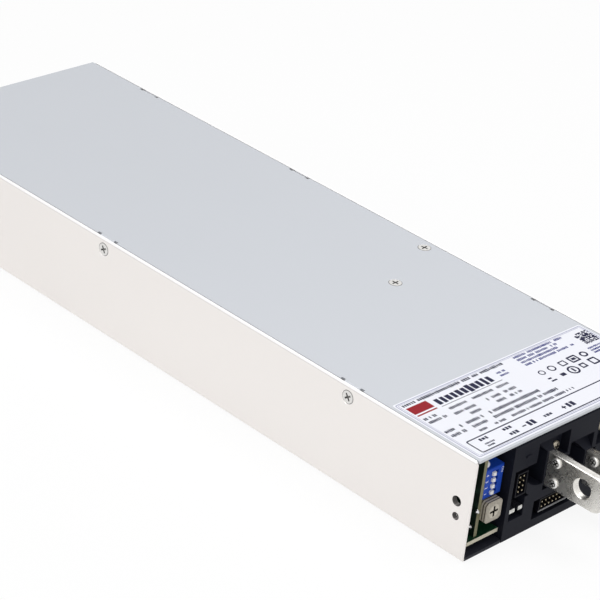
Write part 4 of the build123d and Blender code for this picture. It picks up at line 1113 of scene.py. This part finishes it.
rows = [
    (5.0, 53.0, 39.9, 1.5, 1.1), (5.0, 7.0, 29.5, 1.45, 0.9), (18.0, 10.0, 29.5, 1.45, 0.9),
    (30.0, 11.0, 29.5, 1.45, 0.9), (43.0, 7.0, 29.5, 1.45, 0.9), (5.0, 9.0, 27.0, 1.45, 0.9),
    (17.0, 11.0, 26.0, 1.45, 0.9), (32.0, 9.0, 26.0, 1.45, 0.9), (43.0, 7.0, 26.0, 1.45, 0.9),
    (22.0, 6.0, 23.0, 1.45, 0.9), (36.0, 5.0, 23.0, 1.45, 0.9), (43.0, 7.0, 23.0, 1.45, 0.9),
    (5.0, 9.0, 19.5, 1.6, 0.95), (16.0, 9.0, 19.5, 1.6, 0.95), (28.0, 27.0, 19.5, 1.6, 0.95),
    (5.0, 9.0, 16.5, 1.6, 0.95), (16.0, 9.0, 16.5, 1.6, 0.95), (27.0, 35.0, 16.5, 1.6, 0.95),
    (16.0, 4.0, 13.4, 1.2, 0.8), (24.0, 6.0, 13.4, 1.2, 0.8), (33.0, 34.0, 13.4, 1.3, 0.8),
]
navy = bar_rows("row", navy_ink, rows, gaps=0.12, first_seed=20)
navy.append(bars("heading", navy_ink, 17.0, 31.0, 35.0, 4.3, 2.7, gaps=0.0, seed=61))
navy.append(bar(17.0, 49.0, 31.9, 32.15))
print_piece("label_print_navy", navy_ink, navy)

notes = [(64.0, 28.0, 40.0, 1.25, 0.85), (64.0, 23.0, 38.0, 1.25, 0.85), (64.0, 21.0, 36.0, 1.25, 0.85),
         (64.0, 28.0, 34.0, 1.25, 0.85), (50.5, 5.0, 36.2, 1.0, 0.75), (50.5, 5.0, 34.2, 1.0, 0.75),
         (93.0, 8.0, 28.6, 1.0, 0.75), (93.0, 8.0, 27.0, 1.0, 0.75), (93.0, 6.0, 25.4, 1.0, 0.75)]
print_piece("label_print_blue", blue_ink, bar_rows("note", blue_ink, notes, gaps=0.14, first_seed=90))

marks = [ring_mark(76.5, 21.6, 2.6, 0.8), ring_mark(65.0, 27.0, 1.5, 0.5), ring_mark(70.5, 27.0, 1.8, 0.6),
         frame_lines(75.0, 78.4, 25.4, 28.6, 0.6, 0.4), frame_lines(80.3, 85.0, 24.8, 29.0, 0.8, 0.5),
         ring_mark(88.6, 27.0, 1.8, 0.8), frame_lines(80.6, 83.6, 20.2, 23.2, 0.7, 0.2),
         frame_lines(86.2, 90.2, 19.6, 23.8, 0.8, 0.3), ring_mark(95.6, 21.6, 2.3, 0.9),
         bar(76.0, 77.0, 20.4, 22.8), bar(81.6, 83.7, 26.2, 27.6),
         bar(63.4, 66.2, 20.4, 21.2), bar(63.4, 65.2, 22.2, 23.0), bar(69.6, 72.0, 20.8, 22.6)]
code = squares(95.6, 103.2, 30.9, 38.5, step=0.55, share=0.62, seed=8)
print_piece("label_print_marks", navy_ink, marks + code)

red = [bar(5.0, 15.0, 33.6, 38.2), bar(5.0, 15.0, 32.1, 32.8)]
print_piece("label_print_red", red_ink, red)

border = [frame_lines(3.2, 103.8, 1.8, 41.9, 0.32, 0.9), frame_lines(4.0, 103.0, 2.5, 41.2, 0.16, 0.7)]
print_piece("label_print_border", grey_ink, border)

# A minus, a plus of two crossed bars, and small blocks, in one frame
terminals = [frame_lines(6.2, 102.6, 3.0, 11.3, 0.55, 0.9),
             bar(30.6, 32.6, 6.2, 6.8), bar(52.0, 54.0, 6.2, 6.8), bar(52.7, 53.3, 5.5, 7.5),
             bar(33.6, 35.0, 5.2, 7.9), bar(35.6, 37.2, 5.2, 7.9), bar(54.9, 56.3, 5.2, 7.9),
             bar(56.9, 58.6, 5.2, 7.9)]
captions = [(11.0, 5.0, 9.2, 1.5, 1.5), (11.0, 5.5, 6.4, 0.8, 0.7), (11.0, 4.0, 5.0, 0.8, 0.7),
            (23.0, 5.0, 9.0, 1.6, 1.5), (23.0, 5.0, 5.6, 1.6, 1.5), (42.0, 5.0, 6.5, 1.5, 1.5)]
terminals += bar_rows("terminal", navy_ink, captions, gaps=0.0, first_seed=130)
print_piece("label_print_terminals", navy_ink, terminals)


# Camera, lamps and floor

IMAGE_PX = 600
FOCAL_PX = 2429.766
AZIMUTH, ELEVATION, ROLL = radians(42.449), radians(28.426), radians(6.634)
CAMERA_AT = (584.297, -611.304, 471.759)
FLOOR_HALF = 3.0
FLOOR_DROP = 0.0003
ROOM_LIGHT = 0.36
SHADOW_SHARE = 0.12


def set_camera():
    """The photograph's view, worked out from the case's own edges."""
    back = Vector((sin(AZIMUTH) * cos(ELEVATION), -cos(AZIMUTH) * cos(ELEVATION), sin(ELEVATION)))
    right = Vector((cos(AZIMUTH), sin(AZIMUTH), 0))
    up = back.cross(right)
    right, up = cos(ROLL) * right + sin(ROLL) * up, -sin(ROLL) * right + cos(ROLL) * up
    data = bpy.data.cameras.new("photo_camera")
    data.sensor_width = 36.0
    data.lens = FOCAL_PX / IMAGE_PX * data.sensor_width
    data.clip_start = 0.01
    data.clip_end = 50
    camera = placed("photo_camera", data)
    turn = Matrix((right, up, back)).transposed().to_4x4()
    camera.matrix_world = Matrix.Translation(Vector(CAMERA_AT) * MM) @ turn
    bpy.context.scene.camera = camera


def panel_lamp(name, place, aim, size, power):
    """A square soft white lamp of a size at a place, facing a point, all in metres."""
    data = bpy.data.lights.new(name, "AREA")
    data.shape = "SQUARE"
    data.size = size
    data.energy = power
    lamp = placed(name, data)
    lamp.location = place
    lamp.rotation_euler = (Vector(aim) - Vector(place)).to_track_quat("-Z", "Y").to_euler()


def set_world(level):
    """A white room: full white where it is seen or mirrored, and a plain level of light elsewhere."""
    world = bpy.data.worlds.new("white_room")
    room = Nodes(world)
    strength = room.add("ShaderNodeMapRange", {}, {"Value": room.shown(), "To Min": level, "To Max": 1.0})
    background = room.add("ShaderNodeBackground", {}, {"Color": (1, 1, 1), "Strength": strength})
    output = room.tree.nodes.new("ShaderNodeOutputWorld")
    room.feed(output.inputs["Surface"], background)
    bpy.context.scene.world = world


def set_floor(share):
    """A white floor that shows as white and keeps a share of the shadow."""
    bm = bmesh.new()
    bmesh.ops.create_grid(bm, x_segments=1, y_segments=1, size=FLOOR_HALF)
    mesh = mesh_of(bm, "floor")
    look = Look("floor_white", 0.9)
    look.to("Base Color", (0.9, 0.9, 0.9))
    shaded = Wire(look, look.shader.outputs[0])
    glow = look.add("ShaderNodeEmission", {}, {"Color": (1, 1, 1), "Strength": 1.0})
    mixed = look.add("ShaderNodeMixShader", {}, (look.shown() * (1 - share), shaded, glow))
    look.feed(look.output.inputs["Surface"], mixed)
    mesh.materials.append(look.material)
    mesh.transform(Matrix.Translation((0, 0, -FLOOR_DROP)))
    floor = placed("floor", mesh)


set_camera()
set_world(ROOM_LIGHT)
set_floor(SHADOW_SHARE)
panel_lamp("key", place=(-0.35, -1.2, 0.9), aim=(-0.05, 0, 0), size=0.9, power=9.0)
panel_lamp("overhead", place=(0.2, 0.4, 1.3), aim=(0, 0, 0), size=0.8, power=8.0)
panel_lamp("end_fill", place=(1.1, -0.5, 0.9), aim=(0.15, 0, 0.02), size=0.4, power=4.0)
bpy.context.scene.view_settings.view_transform = "Standard"
